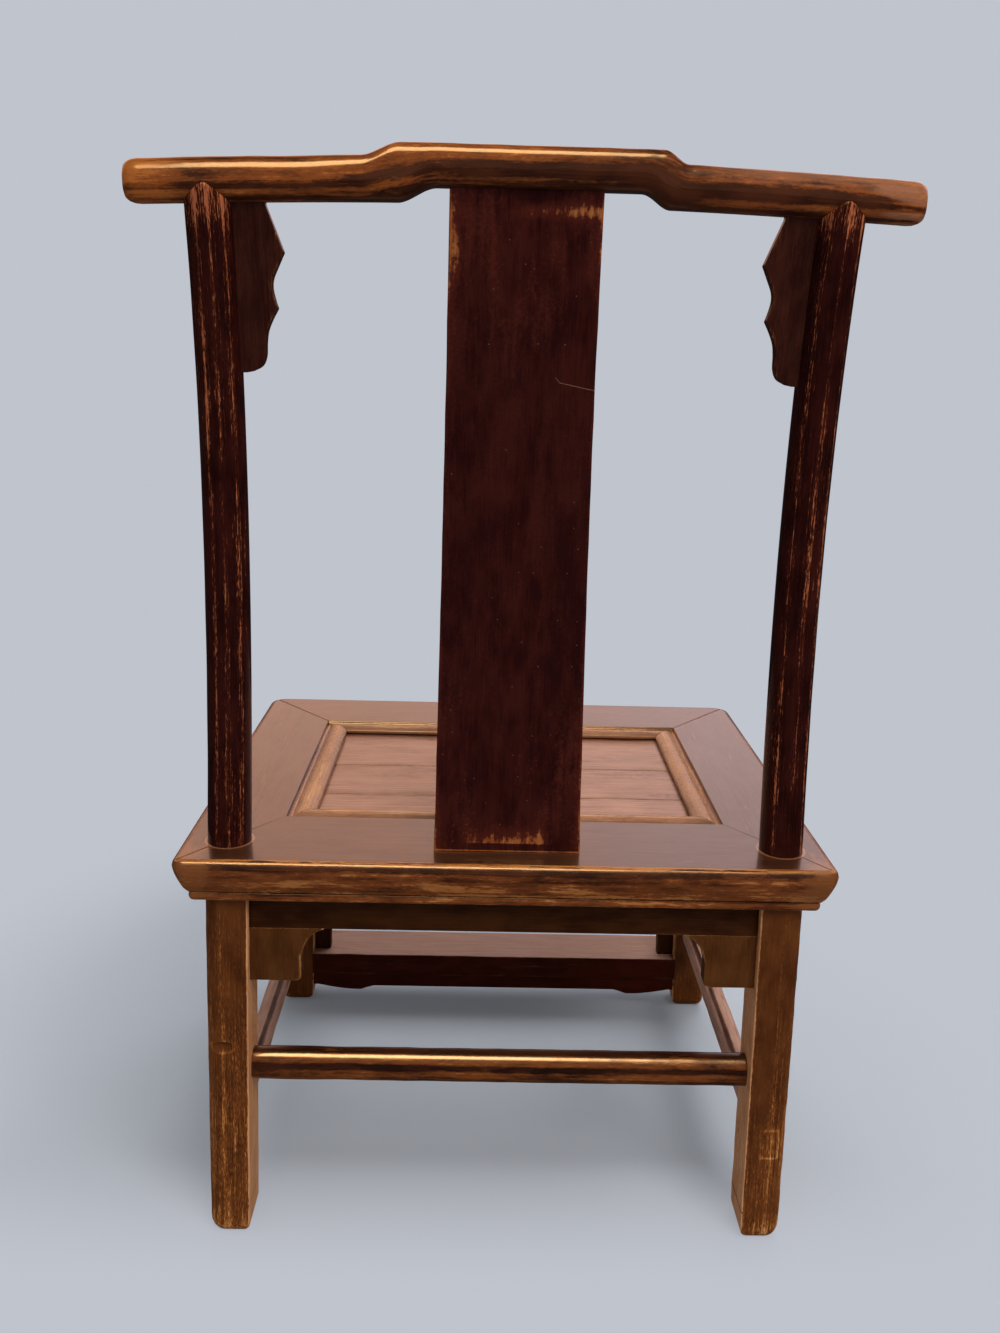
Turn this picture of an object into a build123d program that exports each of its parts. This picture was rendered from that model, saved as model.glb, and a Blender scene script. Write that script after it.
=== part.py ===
"""Yoke-back side chair in lacquered elm, one solid per piece of wood.

Millimetres. +Z is up and the floor is Z = 0. The sitter faces -Y and has the
left hand on the +X side. The origin lies on the floor under the middle.
Depths called "forward" are measured from the rear edge of the seat.
"""
import os
from math import hypot

from build123d import *

# ---------------------------------------------------------------- fits
FIT = 0.12                  # play round every tenon, tongue and coped shoulder
SEAM = 0.5                  # open joint between neighbouring seat boards
TOUCH = 0.01                # nearness at which two corners count as one
ROOT = 3.0                  # tenons and boards start this far inside their own piece

# ---------------------------------------------------------------- seat frame
SEAT_WIDTH = 520.0
SEAT_DEPTH = 443.0
SEAT_HEIGHT = 357.0
SEAT_THICKNESS = 39.0
SIDE_RAIL_WIDTH = 74.0      # outer edge to the rebate for the bead strips
REAR_RAIL_WIDTH = 95.0
FRONT_RAIL_WIDTH = 83.0
FRONT_CORNER_ROUND = 18.0
REAR_CORNER_ROUND = 10.0
REBATE_WIDTH = 20.5         # ledge that carries the bead strips
REBATE_DEPTH = 6.5
GROOVE_DEPTH = 6.5          # groove in the rails for the edges of the seat boards
RAIL_TENON_WIDTH = 19.0
RAIL_TENON_THICKNESS = 12.0
RAIL_TENON_FORWARD = 66.0   # clear of the posts that pass through the corners
RAIL_TENON_INSET = 6.0      # the front pair sits this much nearer the front edge
CORNER_LEAST = 2.0          # smallest rounding of a corner anywhere in the moulding

# Edge moulding, as (inset from the widest outline, depth below the top).
MOULD_TOP = [(5.6, 0.0), (2.6, 0.9), (1.0, 2.8), (0.2, 5.2), (0.0, 7.0)]
MOULD_HOLLOW = [(0.0, 7.0), (1.2, 12.5), (3.6, 18.5), (6.6, 24.5), (10.2, 30.0)]
MOULD_QUIRK = [(12.0, 30.0), (12.0, 31.2)]
MOULD_BEAD = [(11.2, 31.2), (10.8, 33.2), (11.2, 36.0), (12.6, 38.0), (15.0, 39.0)]

# ---------------------------------------------------------------- seat panel
STRIP_GAP = 3.7             # open groove between the rail and the bead strip
STRIP_OVERHANG = 2.2        # strip stands in over the edge of the ledge
STRIP_EDGE = 3.4            # height of the square edge under the rounded top
BOARD_THICKNESS = 11.0
BOARD_DROP = 7.5            # boards lie this far below the top of the frame
BOARD_TONGUE = 5.0
BOARD_PLAY = 0.8            # room for the boards to swell inside the frame
BOARD_TONGUE_DROP = 3.0     # tongue below the upper face of the board
BOARD_SEAMS = [168.0, 245.0]
EDGE_TONGUE = 4.0           # tongue between neighbouring boards, long and thick
BATTEN_X = 84.0
BATTEN_WIDTH = 34.0
BATTEN_HEIGHT = 15.0
BATTEN_KEY = 2.6            # height of the dovetail key let into the boards
BATTEN_KEY_WIDTH = 22.0
KEY_FLARE = 0.5             # dovetail flare for each unit of height
BATTEN_TENON = 8.0
BATTEN_TENON_WIDTH = 22.0
BATTEN_TENON_HEIGHT = 10.0

# ---------------------------------------------------------------- legs
LEG_WIDTH = 36.0
REAR_LEG_DEPTH = 41.0
FRONT_LEG_DEPTH = 36.0
LEG_INSET = 19.0            # leg inside the seat outline, at the underside of the seat
SPLAY_X = 7.0               # how far the feet stand out sideways
SPLAY_Y = 1.4               # and to the front or the rear
LEG_ROUND = 14.0            # outer corner of the leg
LEG_ARRIS = 1.8             # the three inner corners
FOOT_PROFILE = [(9.5, 0.0), (5.4, 1.3), (2.6, 4.0), (0.7, 8.1), (0.0, 13.0)]
LEG_TENON = 18.0
LEG_TENON_LENGTH = 28.0

# ---------------------------------------------------------------- back
# Height above the seat and forward distance of the middle of the posts.
BACK_KNOTS = [(0.0, 44.4), (160.0, 51.6), (320.0, 42.9), (488.0, 10.2)]
BACK_HEIGHT = 487.2         # seat to the underside of the crest rail, in the middle
POST_RADIUS_FOOT = 17.4
POST_RADIUS_TOP = 16.5
NIB_HEIGHT = 9.6            # pointed shoulder that laps up over the crest rail
NIB_SLOPE = 0.72
POST_TENON_X = 12.0
POST_TENON_Y = 13.0
POST_TENON_LENGTH = 17.0

CREST_HALF_LENGTH = 268.5
CREST_FORWARD = 9.4         # middle of the rail, forward of the rear edge of the seat
CREST_BOW = 6.3             # forward sweep of the two ends
CREST_BOW_START = 90.0
CREST_THICK = 26.6          # height of the rail in the middle
CREST_DEPTH = 29.0          # front to rear in the middle
CREST_END_DEPTH = 26.0
CREST_ROUNDING = 0.42       # corner radius as a share of the smaller side
CREST_DROP_UNDER = 9.9      # step from the raised middle down to the wings
CREST_DROP_TOP = 8.5
CREST_STEP_UNDER = [70.0, 96.0]
CREST_STEP_TOP = [85.0, 109.0]
CREST_DROOP = 5.0           # fall of the wings from the step to the end
CREST_SWEEP = 1.3           # power of the curve by which the wings bend away
CREST_END_ROUND = [(0.0, 9.0), (0.7, 4.5), (2.2, 1.6), (4.6, 0.0)]

SPLAT_THICKNESS = 12.0
SPLAT_HALF_FOOT = 58.2
SPLAT_HALF_TOP = 51.8
SPLAT_BEHIND = 9.4          # splat stands behind the post line at the seat
SPLAT_ARRIS = 1.2
SPLAT_SHOULDER = 9.0        # tongue is narrower than the splat on each side
SPLAT_TONGUE = 7.0
SPLAT_TONGUE_LENGTH = 11.0

SPANDREL_THICKNESS = 8.0
SPANDREL_TONGUE = 4.0
SPANDREL_TONGUE_DEPTH = 5.0
SPANDREL_TONGUE_END = 14.0  # the side tongue stops this far above the toe
# Cusped inner edge of the spandrel: (in from the post, below the crest rail).
SPANDREL_TOP_WIDTH = 21.5
SPANDREL_CUSP_A = (32.0, 29.5)
SPANDREL_HOLLOW = [(27.4, 38.5), (23.6, 46.5), (22.8, 53.0), (24.2, 60.5)]
SPANDREL_CUSP_B = (25.8, 66.0)
SPANDREL_NECK = [(21.4, 73.5), (18.0, 81.0), (16.5, 89.0), (15.6, 98.5)]
SPANDREL_TOE = [(12.4, 105.2), (5.6, 109.0)]
SPANDREL_HEIGHT = 110.0

# ---------------------------------------------------------------- aprons
APRON_HEIGHT = 30.5
APRON_THICKNESS = 14.0
APRON_SETBACK = 8.0         # behind the outer face of the legs
APRON_TENON = 12.0
APRON_TENON_THICKNESS = 7.0
APRON_TENON_EDGE = 3.0      # tenon is lower than the apron by this, above and below
BRACKET_WIDTH = 40.2
BRACKET_HEIGHT = 47.0
BRACKET_FLARE = 19.5
# Hollow under the flare: (share of the flare, below the apron).
BRACKET_HOLLOW = [(0.56, 4.2), (0.22, 12.6), (0.0, 25.0)]
BRACKET_TOE_ROUND = 5.0
TOE_SHARE = 0.29            # inset of the middle of a round corner, as a share of its radius
BRACKET_TONGUE = 6.0        # thickness of the tongues of a bracket
BRACKET_TONGUE_DEPTH = 5.0

FRONT_APRON_MIDDLE = 30.0   # height of the front apron in the middle
FRONT_APRON_END = 46.0      # and above the two upright strips
# Lower edge of the front apron: (from the middle, below the seat frame).
FRONT_APRON_CUSP = (152.0, 38.0)
FRONT_APRON_LOBE = [(172.0, FRONT_APRON_END), (160.0, 44.4), FRONT_APRON_CUSP]
FRONT_APRON_OGEE = [FRONT_APRON_CUSP, (140.0, 40.0), (128.0, 37.4), (118.0, 31.6)]
FRONT_APRON_OGEE += [(106.0, FRONT_APRON_MIDDLE)]
APRON_STRIP_WIDTH = 18.0

# ---------------------------------------------------------------- stretchers
REAR_STRETCHER_HEIGHT = 156.0
REAR_STRETCHER_SIZE = (20.0, 28.0)   # front to rear, and up
SIDE_STRETCHER_HEIGHT = 97.5
SIDE_STRETCHER_SIZE = (19.0, 27.0)   # side to side, and up
STRETCHER_FLAT = 0.46                # corner radius as a share of the width
STRETCHER_TENON = (12.0, 20.0)
STRETCHER_TENON_LENGTH = 22.0
THROUGH_TENON = (15.0, 25.0)
THROUGH_RECESS = 0.4                 # end grain lies just inside the leg's face

FOOTREST_TOP = 62.5
FOOTREST_THICKNESS = 26.0
FOOTREST_OVERHANG = 5.2              # in front of the seat's front edge
FOOTREST_SETBACK = 0.8               # tread behind the legs' rear faces
FOOTREST_END_ROUND = 6.0
FOOTREST_ARRIS = 3.0
FOOTREST_TENON = (16.0, 13.0)
FOOTREST_TENON_LENGTH = 11.0
FOOTREST_APRON_THICKNESS = 12.0
FOOTREST_APRON_SETBACK = 3.0
FOOTREST_APRON_TONGUE = 5.0
FOOTREST_APRON_TENON = 6.0
# Lower edge of the footrest apron: (from the middle, above the floor).
FOOTREST_APRON_EDGE = [(206.0, 21.0), (190.0, 18.0), (172.0, 15.6), (157.0, 15.0)]
FOOTREST_APRON_STEP = [(147.0, 18.6), (141.0, 20.2)]

# Sections used along each curved piece.
POST_STEPS = 10
BOARD_STEPS = 8
CREST_STEPS = 9
WING_STEPS = 4

# ---------------------------------------------------------------- derived
SEAT_UNDER = SEAT_HEIGHT - SEAT_THICKNESS
REAR_EDGE = SEAT_DEPTH / 2
FRONT_LEG_REAR = SEAT_DEPTH - LEG_INSET - FRONT_LEG_DEPTH
OPENING_X = SEAT_WIDTH / 2 - SIDE_RAIL_WIDTH
OPENING_REAR = REAR_RAIL_WIDTH
OPENING_FRONT = SEAT_DEPTH - FRONT_RAIL_WIDTH
PANEL_X = OPENING_X - REBATE_WIDTH
PANEL_REAR = OPENING_REAR + REBATE_WIDTH
PANEL_FRONT = OPENING_FRONT - REBATE_WIDTH
LEDGE = SEAT_HEIGHT - REBATE_DEPTH
BOARD_TOP = SEAT_HEIGHT - BOARD_DROP
BOARD_UNDER = BOARD_TOP - BOARD_THICKNESS
TONGUE_TOP = BOARD_TOP - BOARD_TONGUE_DROP
TONGUE_UNDER = TONGUE_TOP - BOARD_TONGUE
APRON_UNDER = SEAT_UNDER - APRON_HEIGHT
CREST_UNDER = SEAT_HEIGHT + BACK_HEIGHT
FOOTREST_UNDER = FOOTREST_TOP - FOOTREST_THICKNESS

SIDES = {"left": 1, "right": -1}
pieces = {}


# ---------------------------------------------------------------- helpers
def back(forward):
    """Y of a place measured forward of the seat's rear edge."""
    return REAR_EDGE - forward


def block(x_range, forward_range, z_range, grow=0.0):
    """Box between two sideways, two forward and two height limits."""
    spans = []
    for low, high in (sorted(x_range), sorted(map(back, forward_range)), sorted(z_range)):
        spans.append((low - grow, high + grow))
    middle = [(low + high) / 2 for low, high in spans]
    return Pos(*middle) * Box(*[high - low for low, high in spans])


def slab(face, forward_range):
    """Extrude an outline drawn as (x, z) between two forward limits."""
    near, far = sorted(forward_range)
    sheet = Plane(origin=(0, back(near), 0), x_dir=(1, 0, 0), z_dir=(0, -1, 0)) * face
    return extrude(sheet, amount=far - near)


def side_slab(face, x_range):
    """Extrude an outline drawn as (forward, z) between two sideways limits."""
    near, far = sorted(x_range)
    sheet = Plane(origin=(far, back(0), 0), x_dir=(0, -1, 0), z_dir=(-1, 0, 0)) * face
    return extrude(sheet, amount=far - near)


def outline(*runs):
    """Closed face from point runs: ("line", points) or ("curve", points)."""
    edges = []
    start = runs[0][1][0]
    last = start
    for kind, points in runs:
        chain = list(points) if points[0] == last else [last] + list(points)
        last = chain[-1]
        if len(chain) > 1:
            edges.append(Spline(*chain) if kind == "curve" else Polyline(*chain))
    if last != start:
        edges.append(Line(last, start))
    return make_face([edge for run in edges for edge in run.edges()])


def flip(part, sign):
    """Copy of a left-hand part for the chosen side."""
    return part if sign > 0 else mirror(part, Plane.YZ)


def join(male, females, x_range, forward_range, z_range):
    """Add a tenon to one piece and cut its mortise, larger by the fit, in the others."""
    pieces[male] = pieces[male] + block(x_range, forward_range, z_range)
    for female in females:
        pieces[female] = pieces[female] - block(x_range, forward_range, z_range, FIT)


def about(middle, size):
    """Limits of a size centred on a place."""
    return (middle - size / 2, middle + size / 2)


def both(sign, limits):
    """Sideways limits of a left-hand detail, turned over for the right-hand side."""
    return tuple(sign * value for value in limits)


def largest(part):
    """The main solid of a cut, without the offcuts."""
    return sorted(part.solids(), key=lambda solid: solid.volume)[-1]


def plan_prism(points):
    """Upright prism over a plan drawn as (x, forward)."""
    corners = [(x, back(forward)) for x, forward in points]
    face = make_face(Polyline(*corners, close=True).edges())
    return extrude(face, amount=2 * SEAT_HEIGHT)


def blend(value, low, high):
    """Smooth rise from 0 to 1 between two limits."""
    share = min(max((value - low) / (high - low), 0.0), 1.0)
    return share * share * (3 - 2 * share)


def square_corners(plan, width, length):
    """Corners of a centred rectangle that have not been rounded yet."""
    reach = hypot(width, length) / 2 - TOUCH
    return [v for v in plan.vertices() if hypot(v.X, v.Y) > reach]


# ---------------------------------------------------------------- legs and posts
def leg_outer(z):
    """Sideways place of a leg's outer face at a height."""
    return SEAT_WIDTH / 2 - LEG_INSET + SPLAY_X * (1 - z / SEAT_UNDER)


def leg_inner(z):
    return leg_outer(z) - LEG_WIDTH


def leg_section(depth, outward, inset=0.0):
    """Plan of a leg: round outer corner, three square corners with eased arrises."""
    width = LEG_WIDTH - 2 * inset
    length = depth - 2 * inset
    plan = Rectangle(width, length)
    outer = [v for v in plan.vertices() if v.X > 0 and v.Y * outward > 0]
    plan = fillet(outer, LEG_ROUND - inset)
    return fillet(square_corners(plan, width, length), LEG_ARRIS)


def leg(depth, middle_forward, outward):
    """Left-hand leg from the floor to the seat, splayed outward, with a rounded foot."""
    def level(z, inset=0.0):
        x = leg_outer(z) - LEG_WIDTH / 2
        y = back(middle_forward) + outward * SPLAY_Y * (1 - z / SEAT_UNDER)
        return Pos(x, y, z) * leg_section(depth, outward, inset)

    ankle = FOOT_PROFILE[-1][1]
    foot = loft([level(z, inset) for inset, z in FOOT_PROFILE])
    shaft = loft([level(ankle), level(SEAT_UNDER)], ruled=True)
    return foot + shaft


def back_line(height):
    """Forward distance of the back's curve at a height above the seat."""
    total = 0.0
    for h, forward in BACK_KNOTS:
        weight = forward
        for other, _ in BACK_KNOTS:
            if other != h:
                weight *= (height - other) / (h - other)
        total += weight
    return total


def post_radius(z):
    share = (z - SEAT_HEIGHT) / BACK_HEIGHT
    return POST_RADIUS_FOOT + (POST_RADIUS_TOP - POST_RADIUS_FOOT) * max(share, 0.0)


def post_x(z):
    return leg_outer(z) - post_radius(z)


def post_body(grow=0.0):
    """Round curved post, from the underside of the seat to above the crest rail's belly."""
    sections = []
    top = CREST_UNDER + NIB_HEIGHT
    for index in range(POST_STEPS + 1):
        z = SEAT_UNDER + (top - SEAT_UNDER) * index / POST_STEPS
        place = Pos(post_x(z), back(back_line(z - SEAT_HEIGHT)), z)
        sections.append(place * Circle(post_radius(z) + grow))
    return loft(sections)


# ---------------------------------------------------------------- crest rail
def crest_under(x):
    drop = CREST_DROP_UNDER * blend(x, *CREST_STEP_UNDER)
    return CREST_UNDER - drop - CREST_DROOP * crest_share(x, CREST_STEP_UNDER[1])


def crest_top(x):
    drop = CREST_DROP_TOP * blend(x, *CREST_STEP_TOP)
    return CREST_UNDER + CREST_THICK - drop - CREST_DROOP * crest_share(x, CREST_STEP_TOP[1])


def crest_share(x, start):
    """How far along the wing a place lies, eased so that the wing bends away softly."""
    return max((x - start) / (CREST_HALF_LENGTH - start), 0.0) ** CREST_SWEEP


def crest_forward(x):
    return CREST_FORWARD + CREST_BOW * crest_share(x, CREST_BOW_START)


def crest_section(x, inset=0.0, grow=0.0):
    """Rounded section of the crest rail, square to its length."""
    off = abs(x)
    height = crest_top(off) - crest_under(off)
    depth = CREST_DEPTH + (CREST_END_DEPTH - CREST_DEPTH) * crest_share(off, CREST_BOW_START)
    radius = CREST_ROUNDING * min(height, depth) - inset + grow
    middle = (crest_top(off) + crest_under(off)) / 2
    plane = Plane(origin=(x, back(crest_forward(off)), middle), x_dir=(0, 1, 0), z_dir=(1, 0, 0))
    trim = 2 * (grow - inset)
    return plane * RectangleRounded(depth + trim, height + trim, radius)


def crest_body(grow=0.0):
    """Crest rail: raised middle, stepped shoulders, drooping wings, rounded ends."""
    inner = CREST_STEP_UNDER[0]
    outer = CREST_STEP_TOP[1]
    places = [0.0, inner / 2]
    places += [inner + (outer - inner) * step / CREST_STEPS for step in range(CREST_STEPS + 1)]
    wing = CREST_HALF_LENGTH - CREST_END_ROUND[0][1] - outer
    places += [outer + wing * step / WING_STEPS for step in range(1, WING_STEPS)]
    half = [(x, 0.0) for x in places]
    half += [(CREST_HALF_LENGTH - short, inset) for inset, short in CREST_END_ROUND]
    stations = [(-x, inset) for x, inset in reversed(half[1:])] + half
    return loft([crest_section(x, inset, grow) for x, inset in stations])


def curved_board(thickness, offset, low, high):
    """Wide board whose side view follows the back's curve between two heights."""
    faces = []
    for side in (-1, 1):
        run = []
        for index in range(BOARD_STEPS + 1):
            z = low + (high - low) * index / BOARD_STEPS
            shift = offset * (1 - (z - SEAT_HEIGHT) / BACK_HEIGHT)
            forward = back_line(z - SEAT_HEIGHT) - shift + side * thickness / 2
            run.append((forward, z))
        faces.append(run)
    behind, front = faces
    face = outline(("curve", behind), ("line", [front[-1]]), ("curve", front[::-1]))
    return side_slab(face, (-SEAT_WIDTH, SEAT_WIDTH))


# ---------------------------------------------------------------- seat frame
def seat_level(inset, depth):
    """Outline of the seat at a depth below its top, drawn in by an inset."""
    width = SEAT_WIDTH - 2 * inset
    length = SEAT_DEPTH - 2 * inset
    plan = Rectangle(width, length)
    front = [v for v in plan.vertices() if v.Y < 0]
    plan = fillet(front, max(FRONT_CORNER_ROUND - inset, CORNER_LEAST))
    rear = square_corners(plan, width, length)
    plan = fillet(rear, max(REAR_CORNER_ROUND - inset, CORNER_LEAST))
    return Pos(0, 0, SEAT_HEIGHT - depth) * plan


blank = loft([seat_level(*step) for step in MOULD_TOP])
blank = blank + loft([seat_level(*step) for step in MOULD_HOLLOW])
blank = blank + loft([seat_level(*step) for step in MOULD_QUIRK], ruled=True)
blank = blank + loft([seat_level(*step) for step in MOULD_BEAD])

rebate = block(
    (-OPENING_X, OPENING_X), (OPENING_REAR, OPENING_FRONT), (LEDGE, SEAT_HEIGHT + 1)
)
opening = block((-PANEL_X, PANEL_X), (PANEL_REAR, PANEL_FRONT), (0, SEAT_HEIGHT))
groove_x = PANEL_X + GROOVE_DEPTH
groove_rear = PANEL_REAR - GROOVE_DEPTH
groove_front = PANEL_FRONT + GROOVE_DEPTH
board_groove = block(
    (-groove_x, groove_x), (groove_rear, groove_front), (TONGUE_UNDER, TONGUE_TOP + FIT)
)
frame = blank - rebate - opening - board_groove

edge_x = SEAT_WIDTH / 2
rear_corner = [(edge_x, 0.0), (OPENING_X, OPENING_REAR), (PANEL_X, PANEL_REAR)]
front_corner = [(edge_x, SEAT_DEPTH), (OPENING_X, OPENING_FRONT), (PANEL_X, PANEL_FRONT)]


def turned(corner):
    return [(-x, forward) for x, forward in reversed(corner)]


pieces["rear_seat_rail"] = frame & plan_prism(rear_corner + turned(rear_corner))
pieces["front_seat_rail"] = frame & plan_prism(front_corner + turned(front_corner))
side_rail = frame & plan_prism(rear_corner + front_corner[::-1])

tenon_z = about(SEAT_UNDER + SEAT_THICKNESS / 2, RAIL_TENON_THICKNESS)
tenon_rows = {
    "rear_seat_rail": (RAIL_TENON_FORWARD, RAIL_TENON_FORWARD + RAIL_TENON_WIDTH),
    "front_seat_rail": (
        SEAT_DEPTH - RAIL_TENON_FORWARD + RAIL_TENON_INSET,
        SEAT_DEPTH - RAIL_TENON_FORWARD + RAIL_TENON_INSET - RAIL_TENON_WIDTH,
    ),
}
for side, sign in SIDES.items():
    rail = side + "_seat_rail"
    pieces[rail] = flip(side_rail, sign)
    for long_rail, row in tenon_rows.items():
        reach = both(sign, (OPENING_X, edge_x))
        pieces[long_rail] = pieces[long_rail] + (block(reach, row, tenon_z) & blank)
        pieces[rail] = pieces[rail] - block(reach, row, tenon_z, FIT)

# ---------------------------------------------------------------- bead strips
strip_width = REBATE_WIDTH - STRIP_GAP + STRIP_OVERHANG
strip_x = OPENING_X - STRIP_GAP
strip_rear = OPENING_REAR + STRIP_GAP
strip_front = OPENING_FRONT - STRIP_GAP


def strip_section(start, along):
    """Flat-bottomed strip with a rounded top, lying on the ledge."""
    middle = start + along * strip_width / 2
    end = start + along * strip_width
    crown = ThreePointArc(
        (end, LEDGE + STRIP_EDGE), (middle, SEAT_HEIGHT), (start, LEDGE + STRIP_EDGE)
    )
    foot = Polyline(
        (start, LEDGE + STRIP_EDGE), (start, LEDGE), (end, LEDGE), (end, LEDGE + STRIP_EDGE)
    )
    return make_face(foot.edges() + crown.edges())


strip_rear_corner = [(strip_x, strip_rear), (strip_x - strip_width, strip_rear + strip_width)]
strip_front_corner = [(strip_x, strip_front), (strip_x - strip_width, strip_front - strip_width)]
long_reach = (-strip_x, strip_x)
rear_strip = side_slab(strip_section(strip_rear, 1), long_reach)
front_strip = side_slab(strip_section(strip_front, -1), long_reach)
side_strip = slab(strip_section(strip_x, -1), (strip_rear, strip_front))
side_strip = side_strip & plan_prism(strip_rear_corner + strip_front_corner[::-1])
pieces["rear_bead_strip"] = rear_strip & plan_prism(strip_rear_corner + turned(strip_rear_corner))
pieces["front_bead_strip"] = front_strip & plan_prism(
    strip_front_corner + turned(strip_front_corner)
)
for side, sign in SIDES.items():
    pieces[side + "_bead_strip"] = flip(side_strip, sign)

# ---------------------------------------------------------------- seat boards
board_names = ["rear_seat_board", "middle_seat_board", "front_seat_board"]
board_rows = [PANEL_REAR] + BOARD_SEAMS + [PANEL_FRONT]
board_x = PANEL_X - BOARD_PLAY
edge_tongue_z = about(BOARD_UNDER + BOARD_THICKNESS / 2, EDGE_TONGUE)
for index, name in enumerate(board_names):
    first = index == 0
    last = index == len(board_names) - 1
    start = board_rows[index] + (BOARD_PLAY if first else SEAM / 2)
    end = board_rows[index + 1] - (BOARD_PLAY if last else SEAM / 2)
    body = block((-board_x, board_x), (start, end), (BOARD_UNDER, BOARD_TOP))
    reach_x = groove_x - BOARD_PLAY
    reach_start = groove_rear + BOARD_PLAY if first else start
    reach_end = groove_front - BOARD_PLAY if last else end
    body = body + block((-reach_x, reach_x), (reach_start, reach_end), (TONGUE_UNDER, TONGUE_TOP))
    pieces[name] = body
for name, behind, seam in zip(board_names[:-1], board_names[1:], BOARD_SEAMS):
    tongue = (seam - SEAM / 2, seam + EDGE_TONGUE)
    join(name, [behind], (-board_x, board_x), tongue, edge_tongue_z)

key_half = BATTEN_KEY_WIDTH / 2
key_neck = key_half - BATTEN_KEY * KEY_FLARE
for side, sign in SIDES.items():
    name = side + "_seat_batten"
    place = sign * BATTEN_X
    under = BOARD_UNDER - BATTEN_HEIGHT
    rows = (PANEL_REAR, PANEL_FRONT)
    pieces[name] = block(about(place, BATTEN_WIDTH), rows, (under, BOARD_UNDER))
    for grow in (0.0, FIT):
        key = outline(
            ("line", [(place - key_neck - grow, BOARD_UNDER - grow)]),
            ("line", [(place + key_neck + grow, BOARD_UNDER - grow)]),
            ("line", [(place + key_half + grow, BOARD_UNDER + BATTEN_KEY + grow)]),
            ("line", [(place - key_half - grow, BOARD_UNDER + BATTEN_KEY + grow)]),
        )
        key = slab(key, (PANEL_REAR + BOARD_PLAY, PANEL_FRONT - BOARD_PLAY))
        if grow == 0.0:
            pieces[name] = pieces[name] + key
        else:
            for board in board_names:
                pieces[board] = pieces[board] - key
    tenon_x = about(place, BATTEN_TENON_WIDTH)
    tenon_height = about((under + BOARD_UNDER) / 2, BATTEN_TENON_HEIGHT)
    rear_tenon = (PANEL_REAR - BATTEN_TENON, PANEL_REAR + ROOT)
    front_tenon = (PANEL_FRONT + BATTEN_TENON, PANEL_FRONT - ROOT)
    join(name, ["rear_seat_rail"], tenon_x, rear_tenon, tenon_height)
    join(name, ["front_seat_rail"], tenon_x, front_tenon, tenon_height)

# ---------------------------------------------------------------- posts, legs and crest rail
rear_leg = leg(REAR_LEG_DEPTH, LEG_INSET + REAR_LEG_DEPTH / 2, 1)
front_leg_middle = SEAT_DEPTH - LEG_INSET - FRONT_LEG_DEPTH / 2
front_leg = leg(FRONT_LEG_DEPTH, front_leg_middle, -1)
crest_cutter = crest_body(FIT)
post_cutter = post_body(FIT)
nib_x = post_x(CREST_UNDER)
nib_under = crest_under(nib_x)
nib_forward = crest_forward(nib_x)
apex = nib_under + NIB_HEIGHT
wide = 2 * POST_RADIUS_FOOT
fall = wide * NIB_SLOPE
roof = outline(
    ("line", [(nib_x - wide, 0.0), (nib_x - wide, apex - fall), (nib_x, apex)]),
    ("line", [(nib_x + wide, apex - fall), (nib_x + wide, 0.0)]),
)
gable = slab(roof, (-SEAT_DEPTH, SEAT_DEPTH))
post = rear_leg + largest((post_body() & gable) - crest_cutter)

pieces["crest_rail"] = crest_body()
for side, sign in SIDES.items():
    name = side + "_rear_post"
    pieces[name] = flip(post, sign)
    join(
        name,
        ["crest_rail"],
        both(sign, about(nib_x, POST_TENON_X)),
        about(nib_forward, POST_TENON_Y),
        (nib_under - ROOT, nib_under + POST_TENON_LENGTH),
    )
    for rail in (side + "_seat_rail", "rear_seat_rail"):
        pieces[rail] = pieces[rail] - flip(post_cutter, sign)

    name = side + "_front_leg"
    rails = [side + "_seat_rail", "front_seat_rail"]
    pieces[name] = flip(front_leg, sign)
    join(
        name,
        rails,
        both(sign, about(leg_outer(SEAT_UNDER) - LEG_WIDTH / 2, LEG_TENON)),
        about(front_leg_middle, LEG_TENON),
        (SEAT_UNDER - ROOT, SEAT_UNDER + LEG_TENON_LENGTH),
    )

# ---------------------------------------------------------------- splat
splat_lap = CREST_UNDER + ROOT
taper = outline(
    ("line", [(-SPLAT_HALF_FOOT, SEAT_HEIGHT), (SPLAT_HALF_FOOT, SEAT_HEIGHT)]),
    ("line", [(SPLAT_HALF_TOP, splat_lap), (-SPLAT_HALF_TOP, splat_lap)]),
)
splat = curved_board(SPLAT_THICKNESS, SPLAT_BEHIND, SEAT_HEIGHT - ROOT, splat_lap + ROOT)
splat = splat & slab(taper, (-SEAT_DEPTH, SEAT_DEPTH))
long_edges = [edge for edge in splat.edges() if edge.bounding_box().size.Z > BACK_HEIGHT / 2]
splat = fillet(long_edges, SPLAT_ARRIS) - crest_cutter
pieces["back_splat"] = largest(splat)
tongue_half = SPLAT_HALF_TOP - SPLAT_SHOULDER
join(
    "back_splat",
    ["rear_seat_rail"],
    (-tongue_half, tongue_half),
    about(back_line(0.0) - SPLAT_BEHIND, SPLAT_TONGUE),
    (SEAT_HEIGHT - SPLAT_TONGUE_LENGTH, SEAT_HEIGHT + ROOT / 2),
)
join(
    "back_splat",
    ["crest_rail"],
    (-tongue_half, tongue_half),
    about(back_line(BACK_HEIGHT), SPLAT_TONGUE),
    (CREST_UNDER - ROOT / 2, CREST_UNDER + SPLAT_TONGUE_LENGTH),
)

# ---------------------------------------------------------------- top spandrels
wing_x = post_x(nib_under) - POST_RADIUS_TOP
wing_top = nib_under


def wing_place(point):
    """Place of a spandrel point given as (in from the post, below the crest rail)."""
    inward, below = point
    return (wing_x - inward, wing_top - below)


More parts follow.
